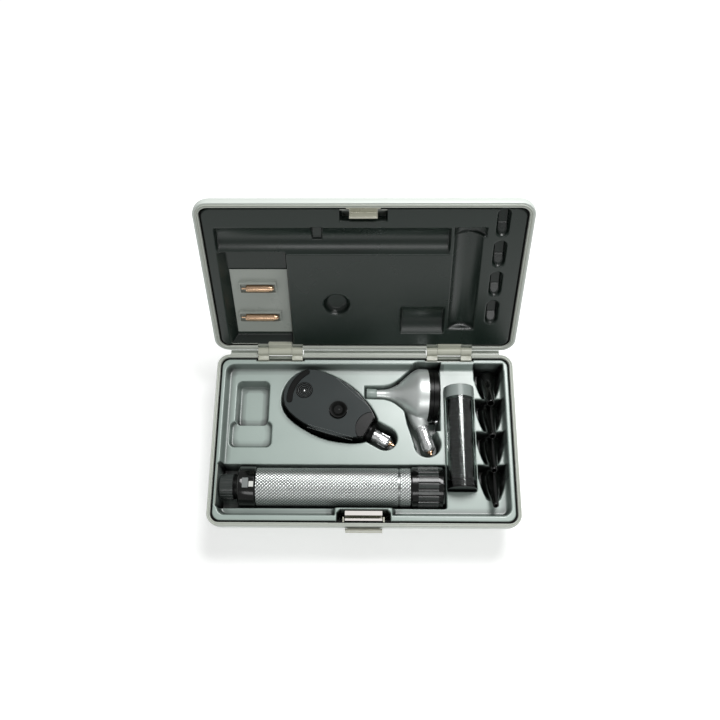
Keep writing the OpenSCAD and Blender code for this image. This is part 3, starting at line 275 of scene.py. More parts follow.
def box_gap(x, y, x0, x1, y0, y1, r):
    """Signed distance to a rounded rectangle, negative inside."""
    qx = np.abs(x - (x0 + x1) / 2) - (x1 - x0) / 2 + r
    qy = np.abs(y - (y0 + y1) / 2) - (y1 - y0) / 2 + r
    return np.hypot(np.maximum(qx, 0), np.maximum(qy, 0)) + np.minimum(np.maximum(qx, qy), 0) - r


def slot_gap(x, y, ax, ay, bx, by, r):
    """Signed distance to a slot with round ends."""
    t = ((x - ax) * (bx - ax) + (y - ay) * (by - ay)) / ((bx - ax) ** 2 + (by - ay) ** 2)
    t = np.clip(t, 0, 1)
    return np.hypot(x - ax - t * (bx - ax), y - ay - t * (by - ay)) - r


def outline_gap(x, y, points):
    """Signed distance to a closed outline."""
    nearest = np.full(x.shape, 1e9)
    inside = np.zeros(x.shape, bool)
    for (ax, ay), (bx, by) in zip(points, points[1:] + points[:1]):
        nearest = np.minimum(nearest, slot_gap(x, y, ax, ay, bx, by, 0))
        if ay != by:
            crosses = ((ay > y) != (by > y)) & (x < (bx - ax) * (y - ay) / (by - ay) + ax)
            inside ^= crosses
    return np.where(inside, -nearest, nearest)


def well(gap, top, floor, lip=0.8, draft=0.05, foot=1.4):
    """Height of a formed pocket: round lip, leaning wall and round foot. Outside the lip it is left open."""
    floor = np.minimum(floor, top)
    depth = np.maximum(top - floor, 1e-6)
    lip = np.minimum(lip, 0.5 * depth)
    foot = np.minimum(foot, 0.45 * depth)
    lean = draft * depth + 0.25
    brow = top - lip + np.sqrt(np.maximum(lip**2 - (np.minimum(gap, lip) - lip) ** 2, 0))
    wall = top - lip + (depth - lip - foot) * gap / lean
    toe = floor + foot - np.sqrt(np.maximum(foot**2 - np.maximum(gap + lean + foot, 0) ** 2, 0))
    z = np.where(gap >= 0, brow, np.where(gap >= -lean, wall, toe))
    z = np.where(gap < -lean - foot, floor, z)
    return np.where(gap > lip, 1e3, z)


def soften(z):
    """Blurs heights over the neighbouring grid points."""
    for axis in (0, 1):
        z = (np.roll(z, 1, axis) + 2 * z + np.roll(z, -1, axis)) / 4
    return z


def ramp(value, start, length):
    """Rises from 0 to 1 as value goes from start to start + length."""
    return np.clip((value - start) / length, 0, 1)


def liner_grid():
    """Points of a liner, and their signed distance to its outline."""
    half_w, half_d = LINER_W / 2, LINER_D / 2
    xs = np.linspace(-half_w, half_w, int(2 * half_w / GRID) + 1)
    ys = np.linspace(-half_d, half_d, int(2 * half_d / GRID) + 1)
    x, y = np.meshgrid(xs, ys, indexing="ij")
    return x, y, box_gap(x, y, -half_w, half_w, -half_d, half_d, LINER_CORNER)


def edge_roll(edge):
    """Fall of a liner's edge into the gap beside the rim."""
    return np.maximum(edge + 0.8, 0) ** 2 * 2.0


def openness(z, reach=6.0, steps=6, ways=12):
    """Share of the sky that each point of a formed sheet sees over its own walls, from 0 to 1."""
    total = np.zeros(z.shape)
    for k in range(ways):
        a = 2 * math.pi * k / ways
        horizon = np.zeros(z.shape)
        for j in range(1, steps + 1):
            far = reach * (j / steps) ** 1.5
            shift = (round(math.cos(a) * far / GRID), round(math.sin(a) * far / GRID))
            rise = np.roll(z, shift, (0, 1)) - z
            horizon = np.maximum(horizon, np.arctan2(rise, far))
        total += 1 - np.sin(horizon)
    return total / ways


def sheet_mesh(name, x, y, z, keep, turn, flip, seen):
    """Grid surface moved by turn. Squares whose corners aren't all kept are left out."""
    co = np.stack([x.ravel(), y.ravel(), z.ravel(), np.ones(x.size)], 1) @ np.array(turn).T
    number = np.arange(x.size).reshape(x.shape)
    corners = [number[:-1, :-1], number[1:, :-1], number[1:, 1:], number[:-1, 1:]]
    quads = np.stack(corners, -1).reshape(-1, 4)
    quads = quads[keep.ravel()[quads].all(1)]
    if flip:
        quads = quads[:, ::-1]
    used = np.unique(quads)
    place = np.zeros(x.size, int)
    place[used] = np.arange(len(used))
    mesh = grid_mesh(name, co[used, :3], place[quads], seen.ravel()[used])
    return link(bpy.data.objects.new(name, mesh))


def local(x, y, at, degrees):
    """Coordinates along and across a piece that is turned about +Z."""
    c, s = math.cos(math.radians(degrees)), math.sin(math.radians(degrees))
    return (x - at[0]) * c + (y - at[1]) * s, -(x - at[0]) * s + (y - at[1]) * c


def arch(offset, r):
    """Height of a circle of radius r above its centre line, or a large drop where the offset passes r."""
    return np.where(np.abs(offset) < r, np.sqrt(np.maximum(r**2 - offset**2, 0)), -1e3)


# Ophthalmoscope: place and turn in the tray, and (along, half width) of its outline
OPH_AT, OPH_TURN = (-19.4, 20.9), -29.3
OPH_TOP, OPH_THICK = 41.2, 25.0
OPH_HALF = [
    (-44.3, 2.6), (-43.6, 6.2), (-42.2, 9.9), (-40, 13.5), (-36.4, 16.9), (-31.4, 19.4), (-25, 20.9),
    (-18, 21.6), (-10, 21.7), (-3, 21.1), (4, 19.7), (11, 17.3), (17, 14.7), (21.4, 12.3), (24.6, 10.1),
    (26.4, 8.8),
]
# Otoscope: place, turn and tilt of its axis from the nose, and (along, radius) of its bed
OTO_AT, OTO_TURN, OTO_TILT, OTO_Z = (1.3, 37.6), -0.4, math.radians(5), 25.0
OTO_BED = [
    (-1.2, 4.8), (13.5, 5.2), (18, 6.3), (22, 8.4), (26, 11.5), (30, 15.3), (34, 18.7), (37.6, 21), (40, 21.7),
    (55.7, 21.7),
]
PLUG_WELL = [
    (57.0, -3.0), (54.9, 4.8), (53.6, 7.6), (56.8, 7.6), (56.8, 26.5), (29.2, 26.5), (30.3, 22.7), (32.4, 12.5),
    (35, 4.7), (37.4, -3.0),
]
PLUG_END, PLUG_END_R = (47.2, -3.0), 9.8
VIAL_X, VIAL_Z, VIAL_R = 71.5, 35.7, 11.0
# Reusable specula: rows of pockets, with (along, height) of a floor and (along, half width) of an outline
SPEC_X, SPEC_Z = 94.0, 24.0
SPEC_Y = [50.6, 25.1, -0.4, -25.9]
SPEC_FLOOR = [(-20.4, 10), (-16.8, 6.2), (-11.5, -0.2), (-8.7, -3.3), (-5.1, -6.4), (7.0, -6.4)]
SPEC_HALF = [(7.0, 10.1), (-2.4, 10.1), (-4.6, 9.3), (-9, 8.2), (-13, 6.9), (-17, 5.3), (-20.4, 4)]
LATCH_HALF, LATCH_Y, LATCH_CHAMFER, LATCH_WALL = 19.3, -53.4, 2.5, 1.4
HANDLE_BED_R, HANDLE_BED_Z = 16.1, 31.0
# Recesses of the lid
SLOT_X, SLOT_Y, SLOT_REACH, SLOT_R = 93.4, (28.6, 2.0, -24.6, -50.6), 6.7, 4.15
DIAL_AT, DIAL_R, DIAL_FLAT_R, DIAL_DEPTH, DIAL_RISE = (-20.2, 21.6), 9.5, 6.8, 5.2, 3.0
CARD_X0, CARD_X1, CARD_Y0, CARD_Y1, CARD_DEPTH = -102.3, -54.4, -25, 63.1, 6.9
TROUGH_HALF, WINDOW_Y, WINDOW_HALF = 11.2, 36.8, 13.4
LOW_END = -46.4


def mirrored(half):
    """Closed outline of a piece that is the same on both sides of its axis."""
    return half + [(along, -across) for along, across in reversed(half)]


def follow(value, table):
    """Second column of a table, read off at a value of the first."""
    return np.interp(value, [row[0] for row in table], [row[1] for row in table])


def hinge_gap(x, y, half, y0):
    """Signed distance to the openings for the two hinges."""
    sides = [box_gap(x, y, s * HINGE_X - half, s * HINGE_X + half, y0, BEYOND, 0.6) for s in (-1, 1)]
    return np.minimum(*sides)


def base_wells(x, y):
    """Signed distance and floor of every pocket in the tray."""
    bed = (HANDLE_Y - HANDLE_BED_R, HANDLE_Y + HANDLE_BED_R)
    vial = box_gap(x, y, VIAL_X - 11.13, VIAL_X + 11.13, -38.4, 40.8, 0.8)
    wells = [
        (box_gap(x, y, -97.2, -72.8, 11.9, 46.1, 4), 23.0),
        (box_gap(x, y, -100.8, -69.6, -5.7, 14.1, 4), 29.4),
        (box_gap(x, y, -93.0, 59.95, *bed, 1.5), HANDLE_BED_Z - arch(y - HANDLE_Y, HANDLE_BED_R)),
        (box_gap(x, y, -106.2, -91.4, *bed, 2.0), 19.6),
        (vial, VIAL_Z + 0.2 - arch(x - VIAL_X, 11.5)),
    ]
    u, v = local(x, y, OPH_AT, OPH_TURN)
    wells.append((outline_gap(u, v, mirrored(OPH_HALF)) - 2.0, OPH_TOP - OPH_THICK - 0.3))
    wells.append((slot_gap(u, v, 24, 0, 40.2, 0, 8.9), 16.0))
    s, t = local(x, y, OTO_AT, OTO_TURN)
    axis_z = OTO_Z + 4.5 - s * math.tan(OTO_TILT)
    under_bell = axis_z - arch(t, follow(s, OTO_BED)) / math.cos(OTO_TILT)
    bell = outline_gap(s, t, [(OTO_BED[0][0], 0)] + mirrored(OTO_BED))
    wells.append((bell, np.minimum(OTO_Z + 0.4, under_bell)))
    plug_end = np.hypot(x - PLUG_END[0], y - PLUG_END[1]) - PLUG_END_R
    wells.append((np.minimum(outline_gap(x, y, PLUG_WELL), plug_end), OTO_Z - 9.4))
    shield = [(b, a) for a, b in SPEC_HALF] + [(-b, a) for a, b in reversed(SPEC_HALF)]
    for spec_y in SPEC_Y:
        wells.append((outline_gap(x - SPEC_X, y - spec_y, shield), SPEC_Z + follow(y - spec_y, SPEC_FLOOR)))
    return wells


def base_light(x, y, z):
    """How little painted shade each point of the base's liner gets, from 1 for none to 0 for the most: painted
    shade in hollows by how little sky they see, less of it behind the tube's end and by the nose, and more deep
    in the specula's pockets.
    """
    seen = np.clip(openness(z) * 1.9 - 0.75, 0, 1)
    s, t = local(x, y, OTO_AT, OTO_TURN)
    behind_tube = ramp(y, 30, 2) * (np.abs(x - VIAL_X) < VIAL_R)
    at_nose = ramp(-s, -6, 2) * (np.abs(t) < 8)
    # More painted shade deep in the specula's pockets
    near_specula = ramp(x, 83.5, 1.5) * ramp(-z, 1.5 - TRAY_Z, 2) * ramp(-x, -104.2, 1)
    seen = np.maximum(np.maximum(seen, 0.9 * behind_tube), 0.5 * at_nose)
    return seen * (1 - 0.85 * near_specula)


def base_liner():
    x, y, edge = liner_grid()
    tray = box_gap(x, y, -105.4, 105.4, -57.4, 57.6, 6)
    boss_half = LATCH_HALF + LATCH_WALL
    boss = box_gap(x, y, -boss_half, boss_half, -BEYOND, LATCH_Y + LATCH_WALL, 1.2)
    z = well(np.maximum(tray, -boss), FLANGE_Z, TRAY_Z, lip=1.0, draft=0.12, foot=1.8)
    z = np.minimum(FLANGE_Z, z)
    for gap, floor in base_wells(x, y):
        z = np.minimum(z, well(gap, TRAY_Z, floor))
    c = LATCH_CHAMFER
    mouth = [
        (-LATCH_HALF + c, LATCH_Y), (LATCH_HALF - c, LATCH_Y), (LATCH_HALF, LATCH_Y - c),
        (LATCH_HALF, -BEYOND), (-LATCH_HALF, -BEYOND), (-LATCH_HALF, LATCH_Y - c),
    ]
    hole = np.minimum(outline_gap(x, y, mouth), hinge_gap(x, y, 18.2, 60.4))
    z = soften(np.minimum(z, well(hole, FLANGE_Z, 28.0, lip=0.5)))
    z = np.minimum(z, FLANGE_Z - edge_roll(edge))
    # The sheet ends a little way down its openings' walls
    keep = (hole > -1.6) & (edge < 0.2)
    obj = sheet_mesh("base_liner_sheet", x, y, z, keep, FLAT, False, base_light(x, y, z))
    obj.data.materials.append(LINER_LIGHT)
    settle(obj, "base_liner")


def lid_recesses(x, y):
    """Signed distance, depth and lip of every recess in the lid's liner."""
    trough = (HANDLE_Y - TROUGH_HALF, HANDLE_Y + TROUGH_HALF)
    window = (WINDOW_Y - WINDOW_HALF, WINDOW_Y + WINDOW_HALF)
    recesses = [
        (box_gap(x, y, -101.6, 59.05, *trough, 0.5), HANDLE_Z + arch(y - HANDLE_Y, 16.5) - LID_FACE, 0.7),
        (box_gap(x, y, -36, -28, trough[0], HANDLE_Y + 1.4, 1.0), 6.0, 0.7),
        (box_gap(x, y, VIAL_X - 10.1, VIAL_X + 10.1, LOW_END, 45.5, 0.5),
         VIAL_Z + arch(x - VIAL_X, 12.1) - LID_FACE, 0.7),
        (box_gap(x, y, VIAL_X - 10.4, VIAL_X + 12.4, LOW_END, -39, 0.5),
         VIAL_Z + arch(x - VIAL_X - 1, 13.3) - LID_FACE, 0.7),
        (box_gap(x, y, 26.5, 58.9, *window, 0.5), OTO_Z + arch(y - WINDOW_Y, 21.9) - LID_FACE, 0.7),
    ]
    from_dial = np.hypot(x - DIAL_AT[0], y - DIAL_AT[1])
    rise = DIAL_RISE * ramp(from_dial, DIAL_FLAT_R, DIAL_R - DIAL_FLAT_R)
    recesses.append((from_dial - DIAL_R, DIAL_DEPTH - rise, 0.7))
    for slot_y in SLOT_Y:
        gap = slot_gap(x, y, SLOT_X, slot_y - SLOT_REACH, SLOT_X, slot_y + SLOT_REACH, SLOT_R)
        recesses.append((gap, follow(y - slot_y, [(-12, 7.2), (3, 6.0), (12, 1.0)]), 0.8))
    lean = np.minimum(ramp(x, CARD_X0, 5.5), ramp(-y, -CARD_Y1, 6.3))
    recesses.append((box_gap(x, y, CARD_X0, CARD_X1, CARD_Y0, CARD_Y1, 0.6), CARD_DEPTH * lean, 0.9))
    return recesses


def lid_liner():
    x, y, edge = liner_grid()
    z = np.zeros(x.shape)
    for gap, depth, lip in lid_recesses(x, y):
        z = np.minimum(z, well(gap, 0.0, -np.maximum(depth, 0), lip=lip, foot=1.0))
    hole = np.minimum(box_gap(x, y, -15.8, 15.8, -BEYOND, -52, 0.8), hinge_gap(x, y, 9.6, 61.0))
    z = soften(np.minimum(z, well(hole, 0.0, -5.0, lip=0.5)))
    z = np.minimum(z, -edge_roll(edge))
    keep = (hole > -1.2) & (edge < 0.2)
    # Painted shade in the lid's recesses, by how little sky each point sees
    seen = np.clip(openness(z, 3.0) * 1.6 - 0.4, 0, 1)
    obj = sheet_mesh("lid_liner_sheet", x, y, LID_FACE - z, keep, OPEN, True, seen)
    obj.data.materials.append(LINER_DARK)
    settle(obj, "lid_liner")


base_liner()
lid_liner()

# Shells and rims of the case

WALL_STEPS, CORNER_STEPS = 20, 10


def ring_points(inset, r, z, steps):
    """One rounded rectangle of the case, drawn in by inset, as points."""
    w, d = CASE_W - 2 * inset, CASE_D - 2 * inset
    points = []
    for sx, sy, start in ((1, 1, 0), (-1, 1, 90), (-1, -1, 180), (1, -1, 270)):
        for k in range(steps + 1):
            a = math.radians(start + 90 * k / steps)
            points.append((sx * (w / 2 - r) + r * math.cos(a), sy * (d / 2 - r) + r * math.sin(a), z))
    return points


def face_outwards(mesh):
    """Turns every face of a closed mesh outwards."""
    bm = bmesh.new()
    bm.from_mesh(mesh)
    bmesh.ops.recalc_face_normals(bm, faces=bm.faces)
    bm.to_mesh(mesh)
    bm.free()


def loft(name, rings, look, turn, closed=False, steps=CORNER_STEPS, angle=40):
    """Skin over (inset, corner radius, z) rings. The ends are capped unless the last ring joins the first."""
    verts, faces = [], []
    n = 4 * (steps + 1)
    for inset, r, z in rings:
        verts += [turn @ Vector(p) * MM for p in ring_points(inset, r, z, steps)]
    pairs = len(rings) if closed else len(rings) - 1
    for j in range(pairs):
        a, b = j * n, (j + 1) % len(rings) * n
        faces += [(a + i, a + (i + 1) % n, b + (i + 1) % n, b + i) for i in range(n)]
    if not closed:
        faces.append(tuple(reversed(range(n))))
        faces.append(tuple(range((len(rings) - 1) * n, len(rings) * n)))
    mesh = bpy.data.meshes.new(name)
    mesh.from_pydata(verts, [], faces)
    mesh.materials.append(look)
    face_outwards(mesh)
    smooth(mesh, angle)
    return link(bpy.data.objects.new(name, mesh))


def block(x0, x1, y0, y1, z0, z1, turn=FLAT, name="block"):
    """Plain box."""
    mesh = bpy.data.meshes.new(name)
    corners = [(x, y, z) for x in (x0, x1) for y in (y0, y1) for z in (z0, z1)]
    faces = [(0, 1, 3, 2), (4, 6, 7, 5), (0, 4, 5, 1), (2, 3, 7, 6), (0, 2, 6, 4), (1, 5, 7, 3)]
    mesh.from_pydata([turn @ Vector(c) * MM for c in corners], [], faces)
    return link(bpy.data.objects.new(name, mesh))


def at_hinges(half, y0, y1, z0, z1, turn=FLAT):
    """A box at each hinge, reaching half to either side of its middle."""
    return [block(s * HINGE_X - half, s * HINGE_X + half, y0, y1, z0, z1, turn) for s in (-1, 1)]


def beside_recesses(z0, z1):
    """Boxes that clear the lid's ledge beside the lowest slot and the card's pocket."""
    return [block(88.6, 98.2, -63.2, -59.9, z0, z1, OPEN), block(-101.3, -52.9, 59.9, 61.6, z0, z1, OPEN)]


def behind_lever(y1):
    """Box through the front wall, from outside it to y1."""
    return block(-11.9, 11.9, -68.5, y1, 28.8, 35.8)


def cut(obj, *tools):
    """Takes the tools away from obj and deletes them."""
    for tool in tools:
        mod = obj.modifiers.new("cut", "BOOLEAN")
        mod.operation = "DIFFERENCE"
        mod.solver = "EXACT"
        mod.object = tool
    bpy.context.view_layer.update()
    done = bpy.data.meshes.new_from_object(obj.evaluated_get(bpy.context.evaluated_depsgraph_get()))
    obj.modifiers.clear()
    obj.data = done
    for tool in tools:
        bpy.data.objects.remove(tool)


def base_shell():
    curve, drop = 24.0, BASE_H - RIM_H
    rings = []
    for inner in (0, WALL_T):
        side_rings = []
        for k in range(WALL_STEPS + 1):
            a = math.pi / 2 * k / WALL_STEPS
            side_rings.append((
                inner + (curve - 0.6 * inner) * (1 - math.sin(a)),
                CORNER - 0.7 * inner + 2 * (1 - math.sin(a)),
                inner + (drop - inner) * (1 - math.cos(a)),
            ))
        rings += side_rings if not inner else side_rings[::-1]
    obj = loft("base_shell_skin", rings, SHELL, FLAT)
    cut(obj, behind_lever(-60))
    smooth(obj.data, 40)
    settle(obj, "base_shell")


def lid_shell():
    curve, rise = 25.0, LID_H - RIM_H
    top = LID_Z + RIM_H
    # From the edge of the lip round under it and up inside the rim
    under_lip = [
        (-LIP, CORNER + LIP, LID_Z + 1.1),
        (0.4 - LIP, CORNER + LIP - 0.4, LID_Z + 0.6),
        (-0.3, CORNER + 0.3, LID_Z + 0.6),
        (0.05, CORNER, LID_Z + 0.9),
        (0.05, CORNER, top),
    ]
    outside, inside = [], []
    for inner, side_rings in ((0, outside), (WALL_T, inside)):
        for k in range(WALL_STEPS + 1):
            a = math.pi / 2 * k / WALL_STEPS
            side_rings.append((
                inner - LIP + (curve + LIP - 0.6 * inner) * (1 - math.cos(a)),
                CORNER + LIP - 0.7 * inner + 3 * (1 - math.cos(a)),
                top + (rise - inner) * math.sin(a),
            ))
    obj = loft("lid_shell_skin", outside[::-1] + under_lip + inside, SHELL, OPEN)
    cut(obj, *at_hinges(HINGE_CUT, 60.7, 68.1, LID_Z - 1, LID_Z + 3.8, OPEN))
    smooth(obj.data, 40)
    settle(obj, "lid_shell")


# (inset, depth below the face) across a rim's face: two rounded beads with a fine groove between them
BEADS = [
    (0.0, 0.5), (0.15, 0.15), (0.5, 0), (0.85, 0.1), (1.05, 0.4), (1.2, 0.5), (1.35, 0.4), (1.55, 0.1),
    (1.9, 0), (2.25, 0.15), (RIM_T, 0.5),
]


def rim(name, z0, z1, ledge, turn):
    """Rim frame from z0 to its face at z1, with the ledge that carries the liner."""
    up = 1 if z1 > z0 else -1
    inner = RIM_T + LEDGE_W
    section = [(0.0, z0)] + [(inset, z1 - depth * up) for inset, depth in BEADS]
    section += [(RIM_T, ledge), (inner, ledge), (inner, z0), (RIM_T, z0)]
    rings = [(inset, max(CORNER - inset, 0.5), z) for inset, z in section]
    return loft(name, rings, RIM, turn, closed=True, steps=12, angle=50)


def gap_shade_strip(name, z, thick, body, turn):
    """Black strip of painted shade at the bottom of the gap between a rim and its liner."""
    rings = [(2.5, 6.5, z - thick), (2.5, 6.5, z), (4.7, 4.3, z), (4.7, 4.3, z - thick)]
    obj = loft(name, rings, GAP_SHADE_BLACK, turn, closed=True, steps=12)
    tools = at_hinges(HINGE_CUT, 60, 66.5, 30, 50, turn)
    if turn is OPEN:
        tools += beside_recesses(30, 50)
    cut(obj, *tools)
    add_trim(obj, GAP_SHADE_BLACK, body)


def hinge_strip(name, y0, y1, z0, z1):
    """Strip of the base's rim behind the lid, with gaps for the hinges."""
    obj = block(-103, 103, y0, y1, z0, z1, name=name)
    cut(obj, *at_hinges(17.6, 60, 70, 30, 50))
    ease = obj.modifiers.new("ease", "BEVEL")
    ease.width = 0.3 * MM
    ease.segments = 3
    add_trim(obj, RIM, "base")


def base_rim():
    obj = rim("base_rim_skin", BASE_H - RIM_H, BASE_H, FLANGE_Z - 1, FLAT)
    tools = at_hinges(HINGE_CUT, *HINGE_CUT_Y, BASE_H - 3.4, BASE_H + 1)
    tools += at_hinges(HINGE_CUT, 60.7, 63.3, 35.8, 42)
    tools += [block(-25.3, 25.3, -63.3, -59.1, 35.8, 42), behind_lever(-61.1)]
    cut(obj, *tools)
    settle(obj, "base_rim")


def lid_rim():
    high = LID_Z + RIM_H
    obj = rim("lid_rim_skin", high, LID_Z, LID_FACE + 1, OPEN)
    tools = at_hinges(HINGE_CUT, *HINGE_CUT_Y, LID_Z - 1, LID_Z + 3.3, OPEN)
    tools.append(block(-12, 12, -63.2, -59.9, LID_Z - 1, high + 1, OPEN))
    cut(obj, *tools, *beside_recesses(LID_FACE, high + 1))
    settle(obj, "lid_rim")


base_shell()
lid_shell()
base_rim()
# Black strips of painted shade in the gaps beside the base's and the lid's liners
gap_shade_strip("base_gap_shade", FLANGE_Z - 0.95, 0.2, "base", FLAT)
hinge_strip("hinge_shelf", 65.2, 69.8, 38.0, 39.0)
hinge_strip("hinge_bead", 65.3, 66.6, 39.0, 40.7)
gap_shade_strip("lid_gap_shade", LID_FACE + 0.95, -0.2, "lid", OPEN)
lid_rim()


# Battery handle

TUBE_X0, TUBE_X1, TUBE_R = -78.6, 34.2, 14.0
KNURL_DEPTH, KNURL_STARTS, KNURL_TURNS = 0.26, 36, 44


def ridge(count):
    """Distance to the nearest groove: 0 at each whole count, and 1 halfway between two."""
    return np.abs(count - np.round(count)) * 2


def knurled_tube():
    """The tube's surface with its crossed grooves, the plain ring groove near its end, and turned ends."""
    steepness, ring_depth, chamfer = 1.5, 0.3, 0.5
    pitch = (TUBE_X1 - TUBE_X0) / KNURL_TURNS
    rows, sides = 10 * KNURL_TURNS + 1, 12 * KNURL_STARTS
    along = np.linspace(TUBE_X0, TUBE_X1, rows)
    around = np.linspace(0, 2 * math.pi, sides, endpoint=False)
    x, a = np.meshgrid(along, around, indexing="ij")
    start = KNURL_STARTS * a / (2 * math.pi)
    nearest = np.minimum(ridge(start + x / pitch), ridge(start - x / pitch) * 1.5) * steepness
    dip = KNURL_DEPTH * (1 - np.minimum(nearest, 1))
    ring = (x > TUBE_X1 - 9.7) & (x < TUBE_X1 - 7.7)
    dip = np.where(ring, ring_depth, dip)
    from_end = np.minimum(x - TUBE_X0, TUBE_X1 - x)
    dip = np.where(from_end < chamfer, 0.12 + 0.3 * (1 - from_end / chamfer), dip)
    r = TUBE_R - dip
    places = np.stack([x, r * np.cos(a) + HANDLE_Y, r * np.sin(a) + HANDLE_Z], -1).reshape(-1, 3)
    number = np.arange(rows * sides).reshape(rows, sides)
    corners = [number[:-1], np.roll(number[:-1], -1, 1), np.roll(number[1:], -1, 1), number[1:]]
    quads = np.stack(corners, -1).reshape(-1, 4)[:, ::-1]
    # The "open" attribute, where the tube's material paints shade: low in the grooves of the knurl, in the ring
    # groove and at the turned ends
    height = np.where(ring, 0.35, np.clip(1.1 - dip / KNURL_DEPTH, 0, 1))
    mesh = grid_mesh("handle_tube_knurled", places, quads, height.ravel())
    smooth(mesh, 89)
    mesh.materials.append(TUBE_CHROME)
    settle(link(bpy.data.objects.new("handle_tube_knurled", mesh)), "handle_tube")


# Disposable specula, nested in their tube: rims one behind another

def turned_y(name, profile, x, z, look, sides=64):
    """Surface of revolution about a line along Y, from (y, radius) points."""
    verts = [
        Vector((x + r * math.cos(2 * math.pi * k / sides), y, z + r * math.sin(2 * math.pi * k / sides))) * MM
        for y, r in profile for k in range(sides)
    ]
    faces = []
    for j in range(len(profile) - 1):
        a, b = j * sides, (j + 1) * sides
        faces += [(a + k, a + (k + 1) % sides, b + (k + 1) % sides, b + k) for k in range(sides)]
    faces += [tuple(range(sides)), tuple(range((len(profile) - 1) * sides, len(profile) * sides))]
    mesh = bpy.data.meshes.new(name)
    mesh.from_pydata(verts, [], faces)
    face_outwards(mesh)
    smooth(mesh, 30)
    mesh.materials.append(look)
    return link(bpy.data.objects.new(name, mesh))


def specula_stack():
    y, y_end, pitch = -31.2, 30.8, 2.9
    # (distance from the rim's front, radius) of one speculum's visible end
    one = [(0, 9.3), (0.5, 9.3), (0.52, 9.0), (0.8, 9.0), (0.82, 9.2), (pitch - 0.05, 9.15)]
    profile = []
    while y + pitch < y_end:
        profile += [(y + ahead, r) for ahead, r in one]
        y += pitch
    settle(turned_y("specula_stack", profile, VIAL_X, VIAL_Z, STACK), "vial_specula")


knurled_tube()
specula_stack()

# All other pieces keep the shape of their solid

MADE_ABOVE = {
    "base_liner", "lid_liner", "base_shell", "lid_shell", "base_rim", "lid_rim", "handle_tube", "vial_specula",
}
DULL = {"oph_eyepiece", "oph_brow_rest", "aperture_dial"}
for node in SLOT_OF:
    if node not in MADE_ABOVE:
        skin(node, BLACK_DULL if node in DULL else LOOKS[SLOT_OF[node]])


def repaint(node, look, chosen):
    """Gives another look to the faces of a node's skin for which chosen is true."""
    mesh = bpy.data.objects[node + "_skin"].data
    mesh.materials.append(look)
    for face in mesh.polygons:
        if chosen(face):
            face.material_index = 1


def split(node, axis, places):
    """Cuts the faces of a node's skin along planes across one axis, so that a band of it can be repainted."""
    mesh = bpy.data.objects[node + "_skin"].data
    bm = bmesh.new()
    bm.from_mesh(mesh)
    way = Vector((0, 0, 0))
    way[axis] = 1
    for place in places:
        geom = bm.verts[:] + bm.edges[:] + bm.faces[:]
        bmesh.ops.bisect_plane(bm, geom=geom, dist=1e-7, plane_co=way * place * MM, plane_no=way)
    bm.to_mesh(mesh)
    bm.free()


def rib_highlights(node, x0, x1, r):
    """Gives the tops of the ribs between x0 and x1, further than r from the handle's axis, a lighter grey that
    paints their highlights.
    """
    def on_rib(face):
        c = face.center / MM
        return x0 < c.x < x1 and math.hypot(c.y - HANDLE_Y, c.z - HANDLE_Z) > r

    split(node, 0, (x0, x1))
    repaint(node, RIB_HIGHLIGHT, on_rib)


# Painted highlights on the rib tops of the dimmer ring and the end cap
rib_highlights("dimmer_ring", -105, -95.4, 8.75)
rib_highlights("end_cap", 39.5, 54, 14.8)

lever_top = max(v.co.z for v in bpy.data.objects["latch_lever_skin"].data.vertices)
repaint("latch_lever", BAR_WHITE, lambda face: face.normal.z > 0.9 and face.center.z > lever_top - 1.2 * MM)

TUBE_END_Y = 31.2  # the tube looks milky from here to its closed end
split("vial_tube", 1, (TUBE_END_Y,))
repaint("vial_tube", TUBE_END, lambda face: face.center.y > TUBE_END_Y * MM)


# Fine lines on the ophthalmoscope's face

EYE_AT, DIAL_ON_FACE = (-30.2, 0.8), (0.6, 0.4)
EYE_RINGS = [(1.9, -1.1), (3.2, -0.7), (4.4, -0.3), (5.6, 0.12)]  # (radius, height over the face)
RING_THICK, DOT_R = 0.1, 0.27


def on_face(u, v, above):
    """Point over the ophthalmoscope's face, in metres."""
    c, s = math.cos(math.radians(OPH_TURN)), math.sin(math.radians(OPH_TURN))
    return Vector((OPH_AT[0] + u * c - v * s, OPH_AT[1] + u * s + v * c, OPH_TOP + above)) * MM


def trim_from(bm, name, look, body):
    """Makes a thin piece of a bmesh, and frees it."""
    mesh = bpy.data.meshes.new(name)
    bm.to_mesh(mesh)
    bm.free()
    smooth(mesh, 60)
    add_trim(link(bpy.data.objects.new(name, mesh)), look, body)


def eyepiece_line(name, r, above):
    """Thin ring round the eyepiece's middle."""
    bm = bmesh.new()
    around, across = 48, 8
    verts = []
    for k in range(around):
        a = 2 * math.pi * k / around
        for j in range(across):
            b = 2 * math.pi * j / across
            w = r + RING_THICK * math.cos(b)
            u, v = EYE_AT[0] + w * math.cos(a), EYE_AT[1] + w * math.sin(a)
            verts.append(bm.verts.new(on_face(u, v, above + RING_THICK * math.sin(b))))
    for k in range(around):
        for j in range(across):
            k1, j1 = (k + 1) % around, (j + 1) % across
            ids = (k * across + j, k1 * across + j, k1 * across + j1, k * across + j1)
            bm.faces.new([verts[i] for i in ids])
    bmesh.ops.recalc_face_normals(bm, faces=bm.faces)
    trim_from(bm, name, RING_LINE, BODY_OF["oph_face"])


def beads(name, points, size, look, node):
    """Small balls that ride the body of a node."""
    bm = bmesh.new()
    for p in points:
        bmesh.ops.create_icosphere(bm, subdivisions=1, radius=size * MM, matrix=Matrix.Translation(p))
    trim_from(bm, name, look, BODY_OF[node])


